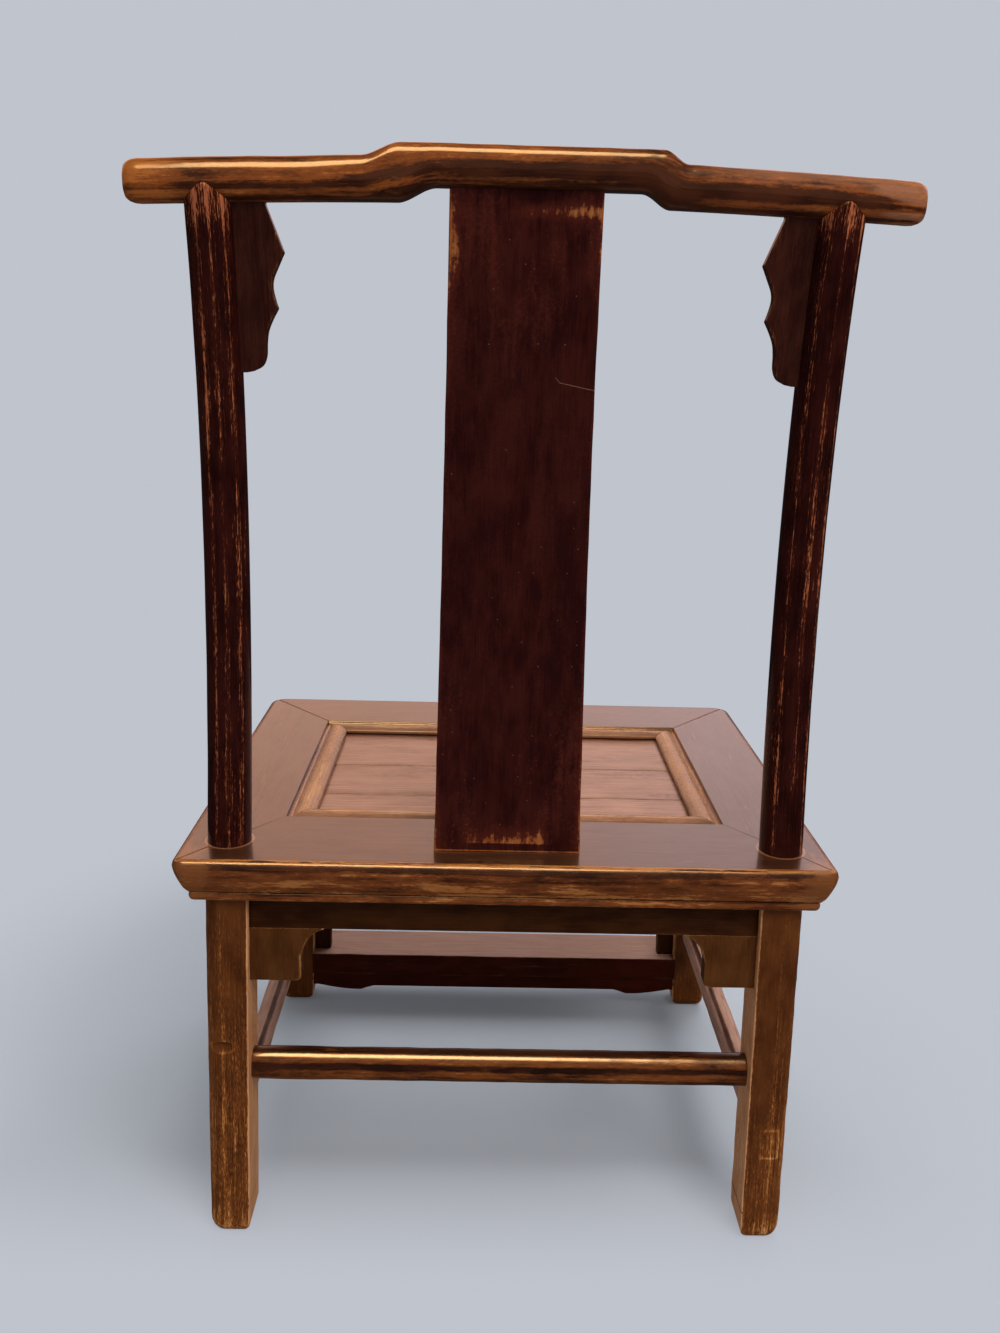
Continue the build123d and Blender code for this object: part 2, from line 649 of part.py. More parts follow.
wing = outline(
    ("line", [wing_place((-POST_RADIUS_TOP, -ROOT)), wing_place((SPANDREL_TOP_WIDTH, -ROOT))]),
    ("line", [wing_place(SPANDREL_CUSP_A)]),
    ("curve", [wing_place(p) for p in SPANDREL_HOLLOW + [SPANDREL_CUSP_B]]),
    ("curve", [wing_place(p) for p in SPANDREL_NECK + SPANDREL_TOE]),
    ("line", [wing_place((0.0, SPANDREL_HEIGHT))]),
    ("line", [wing_place((-POST_RADIUS_TOP, SPANDREL_HEIGHT))]),
)
wing_low = wing_top - SPANDREL_HEIGHT - ROOT
wing_high = wing_top + CREST_THICK
wing_board = curved_board(SPANDREL_THICKNESS, 0.0, wing_low, wing_high)
wing_board = wing_board & slab(wing, (-SEAT_DEPTH, SEAT_DEPTH))
wing_board = largest(wing_board - crest_cutter - post_cutter)
for grow in (0.0, FIT):
    tongue = curved_board(SPANDREL_TONGUE + 2 * grow, 0.0, wing_low, wing_high)
    side_tongue = block(
        (wing_x - ROOT / 2, wing_x + SPANDREL_TONGUE_DEPTH),
        (-SEAT_DEPTH, SEAT_DEPTH),
        (wing_top - SPANDREL_CUSP_A[1] / 2, wing_top - SPANDREL_HEIGHT + SPANDREL_TONGUE_END),
        grow,
    )
    top_tongue = block(
        (wing_x - SPANDREL_TONGUE_DEPTH, wing_x - SPANDREL_TOP_WIDTH + ROOT),
        (-SEAT_DEPTH, SEAT_DEPTH),
        (wing_top - ROOT / 2, wing_top + SPANDREL_TONGUE_DEPTH),
        grow,
    )
    tongues = [tongue & side_tongue, tongue & top_tongue]
    for side, sign in SIDES.items():
        name = side + "_top_spandrel"
        if grow == 0.0:
            pieces[name] = flip(wing_board + tongues[0] + tongues[1], sign)
        else:
            host = side + "_rear_post"
            pieces[host] = pieces[host] - flip(tongues[0], sign)
            pieces["crest_rail"] = pieces["crest_rail"] - flip(tongues[1], sign)

# ---------------------------------------------------------------- aprons and brackets
rear_legs = rear_leg + flip(rear_leg, -1)
front_legs = front_leg + flip(front_leg, -1)
inner_x = leg_inner(SEAT_UNDER)
apron_z = (APRON_UNDER, SEAT_UNDER)
apron_tenon_z = (APRON_UNDER + APRON_TENON_EDGE, SEAT_UNDER - APRON_TENON_EDGE)
rear_row = (LEG_INSET + APRON_SETBACK, LEG_INSET + APRON_SETBACK + APRON_THICKNESS)
front_row = tuple(SEAT_DEPTH - value for value in rear_row)
side_face = leg_outer(SEAT_UNDER) - APRON_SETBACK
side_row = (side_face, side_face - APRON_THICKNESS)
rear_leg_front = LEG_INSET + REAR_LEG_DEPTH


def bracket_face(anchor, away):
    """Corner bracket: straight sides, a round toe, and a hollow flare under the apron."""
    def place(out, below):
        return (anchor + away * out, APRON_UNDER - below)

    flare = BRACKET_WIDTH + BRACKET_FLARE
    toe = BRACKET_TOE_ROUND
    corner = toe * TOE_SHARE
    return outline(
        ("line", [place(-ROOT, BRACKET_HEIGHT), place(-ROOT, 0.0), place(flare, 0.0)]),
        ("curve", [
            place(BRACKET_WIDTH + BRACKET_FLARE * share, below) for share, below in BRACKET_HOLLOW
        ]),
        ("line", [place(BRACKET_WIDTH, BRACKET_HEIGHT - toe)]),
        ("curve", [
            place(BRACKET_WIDTH - corner, BRACKET_HEIGHT - corner),
            place(BRACKET_WIDTH - toe, BRACKET_HEIGHT),
        ]),
    )


bracket_tongue_z = (APRON_UNDER - BRACKET_HEIGHT + APRON_TENON, APRON_UNDER - APRON_TENON)
bracket_top_z = (APRON_UNDER - ROOT, APRON_UNDER + BRACKET_TONGUE_DEPTH)
tongue_in = (ROOT, -BRACKET_TONGUE_DEPTH)
tongue_run = (BRACKET_TONGUE, BRACKET_WIDTH - BRACKET_TONGUE)

pieces["rear_apron"] = block((-inner_x - ROOT, inner_x + ROOT), rear_row, apron_z) - rear_legs
for side, sign in SIDES.items():
    post = side + "_rear_post"
    row = about(sum(rear_row) / 2, APRON_TENON_THICKNESS)
    reach = both(sign, (inner_x - ROOT, inner_x + APRON_TENON))
    join("rear_apron", [post], reach, row, apron_tenon_z)
    name = "rear_" + side + "_bracket"
    pieces[name] = slab(bracket_face(sign * inner_x, -sign), rear_row) - rear_legs
    thin = about(sum(rear_row) / 2, BRACKET_TONGUE)
    edge = leg_inner(APRON_UNDER)
    reach = both(sign, (edge - ROOT, edge + BRACKET_TONGUE_DEPTH))
    join(name, [post], reach, thin, bracket_tongue_z)
    run = both(sign, (inner_x - tongue_run[0], inner_x - tongue_run[1]))
    join(name, ["rear_apron"], run, thin, bracket_top_z)

    name = side + "_apron"
    row = both(sign, side_row)
    span = (rear_leg_front - ROOT, FRONT_LEG_REAR + ROOT)
    pieces[name] = block(row, span, apron_z) - rear_legs - front_legs
    thin = about(sum(row) / 2, APRON_TENON_THICKNESS)
    front = side + "_front_leg"
    ends = [("rear", post, rear_leg_front, 1), ("front", front, FRONT_LEG_REAR, -1)]
    for end, host, face, away in ends:
        join(name, [host], thin, (face + away * ROOT, face - away * APRON_TENON), apron_tenon_z)
    thin = about(sum(row) / 2, BRACKET_TONGUE)
    for end, host, face, away in ends:
        name = side + "_side_" + end + "_bracket"
        bracket = side_slab(bracket_face(face, away), row)
        pieces[name] = bracket - rear_legs - front_legs
        reach = (face + away * ROOT, face - away * BRACKET_TONGUE_DEPTH)
        join(name, [host], thin, reach, bracket_tongue_z)
        run = (face + away * tongue_run[0], face + away * tongue_run[1])
        join(name, [side + "_apron"], thin, run, bracket_top_z)

# ---------------------------------------------------------------- front apron and footrest
lobe = [(x, SEAT_UNDER - below) for x, below in FRONT_APRON_LOBE]
ogee = [(x, SEAT_UNDER - below) for x, below in FRONT_APRON_OGEE]
apron_end = inner_x + ROOT
strip_top = SEAT_UNDER - FRONT_APRON_END


def mirrored(points):
    return [(-x, z) for x, z in reversed(points)]


front_face = outline(
    ("line", [(-apron_end, SEAT_UNDER), (apron_end, SEAT_UNDER), (apron_end, strip_top), lobe[0]]),
    ("curve", lobe),
    ("curve", ogee),
    ("line", [ogee[-1], mirrored(ogee)[0]]),
    ("curve", mirrored(ogee)),
    ("curve", mirrored(lobe)),
    ("line", [mirrored(lobe)[-1], (-apron_end, strip_top)]),
)
pieces["front_apron"] = slab(front_face, front_row) - front_legs

foot_under = (FOOTREST_UNDER, FOOTREST_TOP)
lip_x = leg_outer(FOOTREST_UNDER)
lip_rear = SEAT_DEPTH - LEG_INSET + SPLAY_Y
lip = block((-lip_x, lip_x), (lip_rear, SEAT_DEPTH + FOOTREST_OVERHANG), foot_under)
lip = fillet(lip.edges().filter_by(Axis.Z).sort_by(Axis.Y)[:2], FOOTREST_END_ROUND)
rim = [edge for edge in lip.edges() if edge.center().Y < back(lip_rear + FOOTREST_END_ROUND)]
rim = [edge for edge in rim if abs(edge.bounding_box().size.Z) < TOUCH]
lip = fillet(rim, FOOTREST_ARRIS)
tread_x = leg_inner(FOOTREST_UNDER)
tread = block((-tread_x, tread_x), (FRONT_LEG_REAR + FOOTREST_SETBACK, lip_rear), foot_under)
pieces["front_footrest"] = (lip + tread) - front_legs

edge_run = list(FOOTREST_APRON_EDGE)
step_run = [edge_run[-1]] + FOOTREST_APRON_STEP
low_end = leg_inner(0.0)
lower_face = outline(
    ("line", [(-low_end, FOOTREST_UNDER), (low_end, FOOTREST_UNDER)]),
    ("line", [(low_end, edge_run[0][1]), edge_run[0]]),
    ("curve", edge_run),
    ("curve", step_run),
    ("line", [step_run[-1], mirrored(step_run)[0]]),
    ("curve", mirrored(step_run)),
    ("curve", mirrored(edge_run)),
    ("line", [mirrored(edge_run)[-1], (-low_end, edge_run[0][1])]),
)
lower_start = FRONT_LEG_REAR + FOOTREST_SETBACK + FOOTREST_APRON_SETBACK
lower_row = (lower_start, lower_start + FOOTREST_APRON_THICKNESS)
pieces["footrest_apron"] = slab(lower_face, lower_row) - front_legs
join(
    "footrest_apron",
    ["front_footrest"],
    (-step_run[0][0], step_run[0][0]),
    about(sum(lower_row) / 2, FOOTREST_APRON_TONGUE),
    (FOOTREST_UNDER - ROOT, FOOTREST_UNDER + FOOTREST_APRON_TONGUE),
)

for side, sign in SIDES.items():
    host = side + "_front_leg"
    name = side + "_front_apron_strip"
    low = leg_inner(FOOTREST_TOP)
    high = leg_inner(strip_top)
    upright = outline(
        ("line", [(low + ROOT, FOOTREST_TOP), (low - APRON_STRIP_WIDTH, FOOTREST_TOP)]),
        ("line", [(high - APRON_STRIP_WIDTH, strip_top), (high + ROOT, strip_top)]),
    )
    pieces[name] = flip(slab(upright, front_row) - front_legs, sign)
    thin = about(sum(front_row) / 2, BRACKET_TONGUE)
    for foot, z_range, hosts in (
        (low, (FOOTREST_TOP - BRACKET_TONGUE_DEPTH, FOOTREST_TOP + ROOT), ["front_footrest"]),
        (high, (strip_top - ROOT, strip_top + BRACKET_TONGUE_DEPTH), ["front_apron"]),
    ):
        run = both(sign, about(foot - APRON_STRIP_WIDTH / 2, APRON_STRIP_WIDTH / 2))
        join(name, hosts, run, thin, z_range)
    thick = about(sum(front_row) / 2, APRON_TENON_THICKNESS)
    reach = both(sign, (inner_x - ROOT, inner_x + APRON_TENON))
    join("front_apron", [host], reach, thick, apron_tenon_z)
    reach = both(sign, (tread_x - ROOT, tread_x + FOOTREST_TENON_LENGTH))
    middle = (FOOTREST_UNDER + FOOTREST_TOP) / 2
    row = about(front_leg_middle, FOOTREST_TENON[0])
    join("front_footrest", [host], reach, row, about(middle, FOOTREST_TENON[1]))
    reach = both(sign, (tread_x - ROOT, tread_x + FOOTREST_APRON_TENON))
    row = about(sum(lower_row) / 2, FOOTREST_APRON_TONGUE)
    join("footrest_apron", [host], reach, row, (edge_run[0][1] + ROOT, FOOTREST_UNDER - ROOT / 2))

# ---------------------------------------------------------------- stretchers
rear_middle = LEG_INSET + REAR_LEG_DEPTH / 2
deep, tall = REAR_STRETCHER_SIZE
bar_start = (-edge_x, back(rear_middle), REAR_STRETCHER_HEIGHT)
bar = Plane(origin=bar_start, x_dir=(0, 1, 0), z_dir=(1, 0, 0))
bar = bar * RectangleRounded(deep, tall, deep * STRETCHER_FLAT)
rear_bar = extrude(bar, amount=SEAT_WIDTH)
span_x = leg_inner(REAR_STRETCHER_HEIGHT)
rear_bar = rear_bar & block(about(0.0, 2 * span_x + 2 * ROOT), (0, SEAT_DEPTH), (0, SEAT_HEIGHT))
pieces["rear_stretcher"] = rear_bar - rear_legs

side_x = leg_outer(SIDE_STRETCHER_HEIGHT) - LEG_WIDTH / 2
wide, tall = SIDE_STRETCHER_SIZE
bar_start = (side_x, back(rear_leg_front - ROOT), SIDE_STRETCHER_HEIGHT)
bar = Plane(origin=bar_start, x_dir=(1, 0, 0), z_dir=(0, -1, 0))
bar = bar * RectangleRounded(wide, tall, wide * STRETCHER_FLAT)
side_bar = extrude(bar, amount=FRONT_LEG_REAR - rear_leg_front + 2 * ROOT)
side_bar = side_bar - rear_legs - front_legs
through_face = LEG_INSET - SPLAY_Y * (1 - SIDE_STRETCHER_HEIGHT / SEAT_UNDER)
for side, sign in SIDES.items():
    post = side + "_rear_post"
    z_range = about(REAR_STRETCHER_HEIGHT, STRETCHER_TENON[1])
    reach = both(sign, (span_x - ROOT, span_x + STRETCHER_TENON_LENGTH))
    join("rear_stretcher", [post], reach, about(rear_middle, STRETCHER_TENON[0]), z_range)

    name = side + "_stretcher"
    pieces[name] = flip(side_bar, sign)
    row = both(sign, about(side_x, THROUGH_TENON[0]))
    z_range = about(SIDE_STRETCHER_HEIGHT, THROUGH_TENON[1])
    join(name, [post], row, (rear_leg_front + ROOT, through_face + THROUGH_RECESS), z_range)
    pieces[post] = pieces[post] - block(row, (0.0, rear_leg_front), z_range, FIT)
    reach = (FRONT_LEG_REAR - ROOT, FRONT_LEG_REAR + STRETCHER_TENON_LENGTH)
    join(name, [side + "_front_leg"], row, reach, z_range)

# ---------------------------------------------------------------- write one file per piece
os.makedirs("parts", exist_ok=True)
for name, piece in pieces.items():
    export_step(largest(piece), "parts/" + name + ".step")
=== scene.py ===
# %% [markdown]
# # A yoke-back side chair, dressed in worn lacquer
# The chair was joined from about forty pieces of wood, lacquered dark, and then used for a long
# time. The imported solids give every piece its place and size. This lesson gives each piece that
# shows a finer surface in the same place, with softly worn arrises, and a finish worked out with
# nodes: dark lacquer that has rubbed through to orange wood where hands and feet touch it.
#
# All sizes below are in millimetres, as on a maker's drawing, and become metres in one helper.

import bpy
import numpy as np
from mathutils import Matrix, Vector


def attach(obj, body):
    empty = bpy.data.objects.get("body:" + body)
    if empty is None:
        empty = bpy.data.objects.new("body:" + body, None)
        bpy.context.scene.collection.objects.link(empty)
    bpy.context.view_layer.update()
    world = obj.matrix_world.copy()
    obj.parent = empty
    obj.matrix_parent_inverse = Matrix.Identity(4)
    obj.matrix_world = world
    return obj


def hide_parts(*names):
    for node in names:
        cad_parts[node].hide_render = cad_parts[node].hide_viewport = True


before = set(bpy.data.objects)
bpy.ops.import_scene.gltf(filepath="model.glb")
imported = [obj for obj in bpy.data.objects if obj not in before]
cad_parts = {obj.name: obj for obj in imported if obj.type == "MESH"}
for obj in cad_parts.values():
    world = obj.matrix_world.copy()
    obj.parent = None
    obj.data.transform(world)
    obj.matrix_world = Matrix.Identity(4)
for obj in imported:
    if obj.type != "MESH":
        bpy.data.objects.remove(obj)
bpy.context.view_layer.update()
MM = 0.001

# %% [markdown]
# ## Sizes of the chair
# The same driving sizes that the solids were made from. x runs to the sitter's left, y to the
# rear and z upwards. "Forward" is a distance from the rear edge of the seat towards the
# sitter's knees. The posts and the splat follow one curve, a cubic through four measured
# places, so numpy's polyfit gives its formula.

# %% Driving sizes
SEAT_WIDTH, SEAT_DEPTH, SEAT_HEIGHT, SEAT_THICKNESS = 520.0, 443.0, 357.0, 39.0
SIDE_RAIL, REAR_RAIL, FRONT_RAIL = 74.0, 95.0, 83.0
REBATE_WIDTH, REBATE_DEPTH = 20.5, 6.5
FRONT_ROUND, REAR_ROUND = 18.0, 10.0
LEG_WIDTH, REAR_LEG_DEPTH, FRONT_LEG_DEPTH = 36.0, 41.0, 36.0
LEG_INSET, SPLAY_X, SPLAY_Y = 19.0, 7.0, 1.4
BACK_HEIGHT = 487.2
BACK_PLACES = [(0.0, 44.4), (160.0, 51.6), (320.0, 42.9), (488.0, 10.2)]
BACK_CURVE = np.polyfit(*np.array(BACK_PLACES).T, 3)

SEAT_UNDER = SEAT_HEIGHT - SEAT_THICKNESS
HALF_WIDTH, HALF_DEPTH = SEAT_WIDTH / 2, SEAT_DEPTH / 2
FRONT_LEG_REAR = SEAT_DEPTH - LEG_INSET - FRONT_LEG_DEPTH
REAR_LEG_FRONT = LEG_INSET + REAR_LEG_DEPTH
SIDES = {"left": 1, "right": -1}
TO_LEFT, TO_REAR, UPWARDS = (1, 0, 0), (0, 1, 0), (0, 0, 1)


def back_line(height):
    """Forward distance of the back at a height above the seat: the cubic's value."""
    return np.polyval(BACK_CURVE, height)


def leg_outer(z):
    """Outer face of a leg: it spreads evenly from the seat's underside to the floor."""
    return HALF_WIDTH - LEG_INSET + SPLAY_X * (1 - z / SEAT_UNDER)


def leg_inner(z):
    """Inner face of a leg: its outer face less its width."""
    return leg_outer(z) - LEG_WIDTH


print("leg foot at x", leg_outer(0.0), "post foot forward", back_line(0.0))

# %% [markdown]
# ## Surfaces from two parameters
# Nearly every piece of this chair is a stick or a board: a section carried along a line. The
# section is a rectangle whose four corners are rounded by their own radii. A box with a Bevel
# modifier could make it too, but worked out with numpy the section may change along the piece,
# and each point knows how near an arris it lies, which later tells the finish where to wear.

# %% Small curve helpers
def spread(count):
    """Numbers from 0 to 1, crowded towards both ends: half a turn of a cosine."""
    return (1 - np.cos(np.linspace(0, np.pi, count))) / 2


def smooth(value, low, high):
    """Soft rise from 0 to 1 between two limits: 3t squared minus 2t cubed."""
    t = np.clip((value - low) / (high - low), 0, 1)
    return t * t * (3 - 2 * t)


def bump(value, middle, width):
    """Bell around a place: e to the minus squared distance over squared width."""
    return np.exp(-(((value - middle) / width) ** 2))


def through(points, steps=8):
    """Curve through points: on each stretch, the Catmull-Rom cubic of four neighbours."""
    p = np.array(points, float)
    p = np.vstack([2 * p[0] - p[1], p, 2 * p[-1] - p[-2]])
    t = np.linspace(0, 1, steps, endpoint=False)[:, None]
    runs = []
    for a, b, c, d in zip(p[:-3], p[1:-2], p[2:-1], p[3:]):
        runs.append(b + 0.5 * t * (c - a + t * (2 * a - 5 * b + 4 * c - d + t * (3 * b - 3 * c + d - a))))
    return np.vstack([*runs, p[-2:-1]])


def waver(place, seed, size):
    """Hand-made unevenness: four sines of seeded lengths and phases, at most the given size."""
    rng = np.random.default_rng(seed)
    lengths, phases = rng.uniform(35, 240, 4), rng.uniform(0, 2 * np.pi, 4)
    waves = [np.sin(2 * np.pi * place / length + phase) for length, phase in zip(lengths, phases)]
    return size * sum(waves) / 4


def worn_down(place, seed, size):
    """How much hand work took off a face: the waver without its sign."""
    return np.abs(waver(place, seed, size))


def xyz(x, y, z):
    """Points from three coordinates, each one number or a whole array."""
    return np.stack(np.broadcast_arrays(x, y, z), axis=-1)


# %% The rounded section
ARRIS_REACH = 1.6  # how far the wear of an arris runs onto the faces
ARRIS_LARGEST = 5.0  # a corner rounder than this is no arris
CORNERS = [(1, 1), (-1, 1), (-1, -1), (1, -1)]  # signs of a and u at each corner


def rounded_section(limits, radii, flat_steps, arc_steps):
    """Loops of a rectangle with four rounded corners, one loop for each station.

    limits are the lowest and highest a, and the lowest and highest u. A corner is centre +
    radius * (cos, sin) over a quarter turn. Between two corners the points lie on the straight
    line, crowded towards its ends. Returns both coordinates and the nearness to an arris, e to
    the minus distance over reach.
    """
    limits = [np.atleast_1d(np.asarray(v, float)) for v in limits]
    radii = [np.atleast_1d(np.asarray(r, float)) for r in radii]
    count = max(len(v) for v in limits + radii)
    a0, a1, u0, u1 = [np.broadcast_to(v, count)[:, None] for v in limits]
    corners = []
    for k, (side_a, side_u) in enumerate(CORNERS):
        r = np.broadcast_to(radii[k], count)[:, None]
        turn = (k + np.linspace(0, 1, arc_steps + 1))[None, :] * np.pi / 2
        middle_a = a1 - r if side_a > 0 else a0 + r
        middle_u = u1 - r if side_u > 0 else u0 + r
        sharp = np.clip((ARRIS_LARGEST - r) / ARRIS_LARGEST, 0, 1) * np.ones_like(turn)
        corners.append((middle_a + r * np.cos(turn), middle_u + r * np.sin(turn), sharp))
    loops = []
    between = spread(flat_steps + 1)[None, 1:-1]
    for k in range(4):
        a, u, sharp = corners[k]
        next_a, next_u, next_sharp = corners[(k + 1) % 4]
        flat_a = a[:, -1:] + (next_a[:, :1] - a[:, -1:]) * between
        flat_u = u[:, -1:] + (next_u[:, :1] - u[:, -1:]) * between
        length = np.hypot(next_a[:, :1] - a[:, -1:], next_u[:, :1] - u[:, -1:])
        edge = np.maximum(
            sharp[:, -1:] * np.exp(-between * length / ARRIS_REACH),
            next_sharp[:, :1] * np.exp(-(1 - between) * length / ARRIS_REACH),
        )
        loops.append(np.stack([np.hstack([a, flat_a]), np.hstack([u, flat_u]), np.hstack([sharp, edge])]))
    return np.concatenate(loops, axis=2)


# %% Grid to mesh
def surface(name, node, grid, grain, wear, finish):
    """Turn a grid of points (station, loop, xyz) into a piece that stands for a CAD node.

    Neighbouring points make four-sided faces. The loop is closed round the piece and the two
    end loops are capped. The signed volume, a third of each face's place dotted with its area
    vector, tells whether the faces point outwards, and turns them if not.
    """
    rows, columns = grid.shape[:2]
    index = np.arange(rows * columns).reshape(rows, columns)
    right = np.roll(index, -1, axis=1)
    quads = np.stack([index[:-1], right[:-1], right[1:], index[1:]], axis=-1).reshape(-1, 4)
    points = grid.reshape(-1, 3) * MM
    corner = points[quads]
    area = np.cross(corner[:, 2] - corner[:, 0], corner[:, 3] - corner[:, 1]) / 2
    outwards = np.einsum("ij,ij->", corner.mean(axis=1) - points.mean(axis=0), area) > 0
    loop = np.arange(columns)
    faces = quads.tolist() + [loop[::-1].tolist(), (loop + (rows - 1) * columns).tolist()]
    if not outwards:
        faces = [face[::-1] for face in faces]
    mesh = bpy.data.meshes.new(name)
    mesh.from_pydata(points.tolist(), [], faces)
    smooth_faces = np.ones(len(faces), bool)
    smooth_faces[-2:] = False
    mesh.polygons.foreach_set("use_smooth", smooth_faces)
    shift = np.random.default_rng(sum(map(ord, name))).uniform(0, 9, 3)
    layers = [("grain", "FLOAT_VECTOR", "vector", grain.reshape(-1, 3) * MM + shift),
              ("wear", "FLOAT", "value", np.clip(wear, 0, 2))]
    for title, kind, key, values in layers:
        mesh.attributes.new(title, kind, "POINT").data.foreach_set(key, values.ravel())
    mesh.materials.append(finish)
    piece = bpy.data.objects.new(name, mesh)
    bpy.context.scene.collection.objects.link(piece)
    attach(piece, "root")
    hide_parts(node)
    print(name, "stands for", node, "with", len(faces), "faces")


# %% A stick or board between two ends
QUARTER = np.pi / 2
END_TURNS = np.linspace(0, QUARTER, 5)


def stick(name, node, line, across, up, limits, radii, finish, wear, steps, scoop=None):
    """Carry a rounded section along a line.

    The line is (station, xyz); across and up are the section's two directions; limits are its
    four extents and radii its four corners, each one number or one for each station. steps
    count the points on a flat and on a corner. wear(along, a, u, edge) works out where the
    lacquer has gone, and scoop(along, a, u) what is pressed in.
    """
    line = np.asarray(line, float)
    radii = radii if isinstance(radii, list) else [radii] * 4
    a, u, edge = rounded_section(limits, radii, *steps)
    a, u, edge = [np.broadcast_to(v, (len(line), v.shape[1])) for v in (a, u, edge)]
    steps_along = np.linalg.norm(np.diff(line, axis=0), axis=1)
    along = np.concatenate([[0], np.cumsum(steps_along)])[:, None] * np.ones_like(a)
    worn, grain = wear(along, a, u, edge), xyz(along, a, u)
    if scoop:
        u = u - scoop(along, a, u)
    grid = line[:, None, :] + a[..., None] * np.array(across) + u[..., None] * np.array(up)
    surface(name, node, grid, grain, worn, finish)


def arris_wear(base, share):
    """Wear that is the same everywhere, plus a share of the nearness to an arris."""
    return lambda along, a, u, edge: base + share * edge


# %% [markdown]
# ## Shader maths as Python expressions
# A finish is a sum of many small masks, and wiring those by hand hides the idea. This small
# class wraps a socket, so that `1 - mask * 0.5` adds the Math nodes by itself.

# %% Values and finishes
class Value:
    """A number that changes over a surface. Arithmetic on it adds Math nodes."""

    def __init__(self, finish, socket):
        self.finish, self.socket = finish, socket

    def math(self, operation, *terms):
        """One Math node with its terms on its sockets, in order."""
        return self.finish.node("ShaderNodeMath", {"operation": operation}, dict(enumerate(terms)))

    def __add__(self, other):
        return self.math("ADD", self, other)

    def __radd__(self, other):
        return self.math("ADD", other, self)

    def __sub__(self, other):
        return self.math("SUBTRACT", self, other)

    def __rsub__(self, other):
        return self.math("SUBTRACT", other, self)

    def __mul__(self, other):
        return self.math("MULTIPLY", self, other)

    def __rmul__(self, other):
        return self.math("MULTIPLY", other, self)

    def size(self):
        return self.math("ABSOLUTE", self)

    def root(self):
        return self.math("SQRT", self)

    def largest(self, other):
        return self.math("MAXIMUM", self, other)

    def rise(self, low, high):
        """Soft step from 0 to 1 between two values of this number."""
        sockets = {0: self, 1: low, 2: high, 3: 0.0, 4: 1.0}
        return self.finish.node("ShaderNodeMapRange", {"interpolation_type": "SMOOTHSTEP"}, sockets)
    def near_zero(self, sharpness):
        """1 where this number is 0, falling softly to 0 at 1 / sharpness on both sides."""
        return (1 - self.size() * sharpness).rise(0.0, 1.0)


class Finish:
    """One material. node() adds any node; the other methods are short names for common ones."""

    def __init__(self, name):
        self.material = bpy.data.materials.new(name)
        self.material.use_nodes = True
        self.tree = self.material.node_tree
        self.shader = self.tree.nodes["Principled BSDF"]

    def node(self, kind, settings=None, sockets=None, out=0):
        """Add a node, make its settings, then fill or link its sockets; returns one output."""
        made = self.tree.nodes.new(kind)
        for key, value in (settings or {}).items():
            setattr(made, key, value)
        for key, value in (sockets or {}).items():
            self.plug(made.inputs[key], value)
        return Value(self, made.outputs[out])

    def plug(self, slot, value):
        """Link a Value to a socket, or write a number or colour on it."""
        if isinstance(value, Value):
            self.tree.links.new(value.socket, slot)
        elif slot.type == "RGBA":
            slot.default_value = (*value, 1.0)
        else:
            slot.default_value = value

    def surface(self, **sockets):
        """Fill the shader's sockets; an underscore in a name stands for a space."""
        for key, value in sockets.items():
            self.plug(self.shader.inputs[key.replace("_", " ")], value)
        return self.material

    def attribute(self, name, out):
        return self.node("ShaderNodeAttribute", {"attribute_name": name}, out=out)

    def place(self, axis):
        """Object coordinate along one axis, in metres."""
        coordinates = self.node("ShaderNodeTexCoord", out=3)
        return self.node("ShaderNodeSeparateXYZ", {}, {0: coordinates}, out=axis)

    def noise(self, vector, scale, detail, roughness):
        """Cloudy noise between 0 and 1, with its own number of repeats along each axis."""
        stretched = self.node("ShaderNodeVectorMath", {"operation": "MULTIPLY"}, {0: vector, 1: scale})
        sockets = {"Vector": stretched, "Scale": 1.0, "Detail": detail, "Roughness": roughness}
        return self.node("ShaderNodeTexNoise", {}, sockets)

    def swing(self, grain, along, across, detail, roughness):
        """Noise about zero, mostly between -1 and 1, with repeats along and across the grain."""
        return (self.noise(grain, (along, across, across), detail, roughness) - 0.5) * 4

    def blend(self, share, first, second):
        """Colour from first to second as the share goes from 0 to 1."""
        settings = {"data_type": "RGBA"}
        return self.node("ShaderNodeMix", settings, {0: share, 6: first, 7: second}, out=2)

    def mix_shaders(self, share, first, second):
        return self.node("ShaderNodeMixShader", {}, {0: share, 1: first, 2: second})

    def relief(self, height, strength, distance):
        """Bump from a height: the distance, in metres, is what a height of 1 stands for."""
        sockets = {"Height": height, "Strength": strength, "Distance": distance}
        return self.node("ShaderNodeBump", {}, sockets)


# %% [markdown]
# ## Worn lacquer
# Old lacquer is a thin dark skin. Where it is rubbed it first turns thin and reddish, and then
# the orange wood shows through, in flakes drawn out along the grain. So one number, the level
# of wear, is the piece's own wear plus streaks and flecks of noise, and two soft steps of it
# give the thin rim and the bare wood. The noise is read in the grain's own coordinates, so that
# streaks follow a curved post. The same level drives colour, gloss and the small step in height.
# Past bare wood, at a level of about 1, long rubbing leaves a surface with colours of its own:
# dark and polished on the seat, pale and dull on the inner faces of the legs, where the pale pink is
# partly a painted sheen.

# %% Lacquer finish
POLISHED = (0.95, 1.15)  # levels of wear between which bare wood turns into the rubbed surface
LEAST_ROUGHNESS = 0.08
RELIEF, SKIN = 0.35, 0.0007  # strength of the relief, and its depth in metres


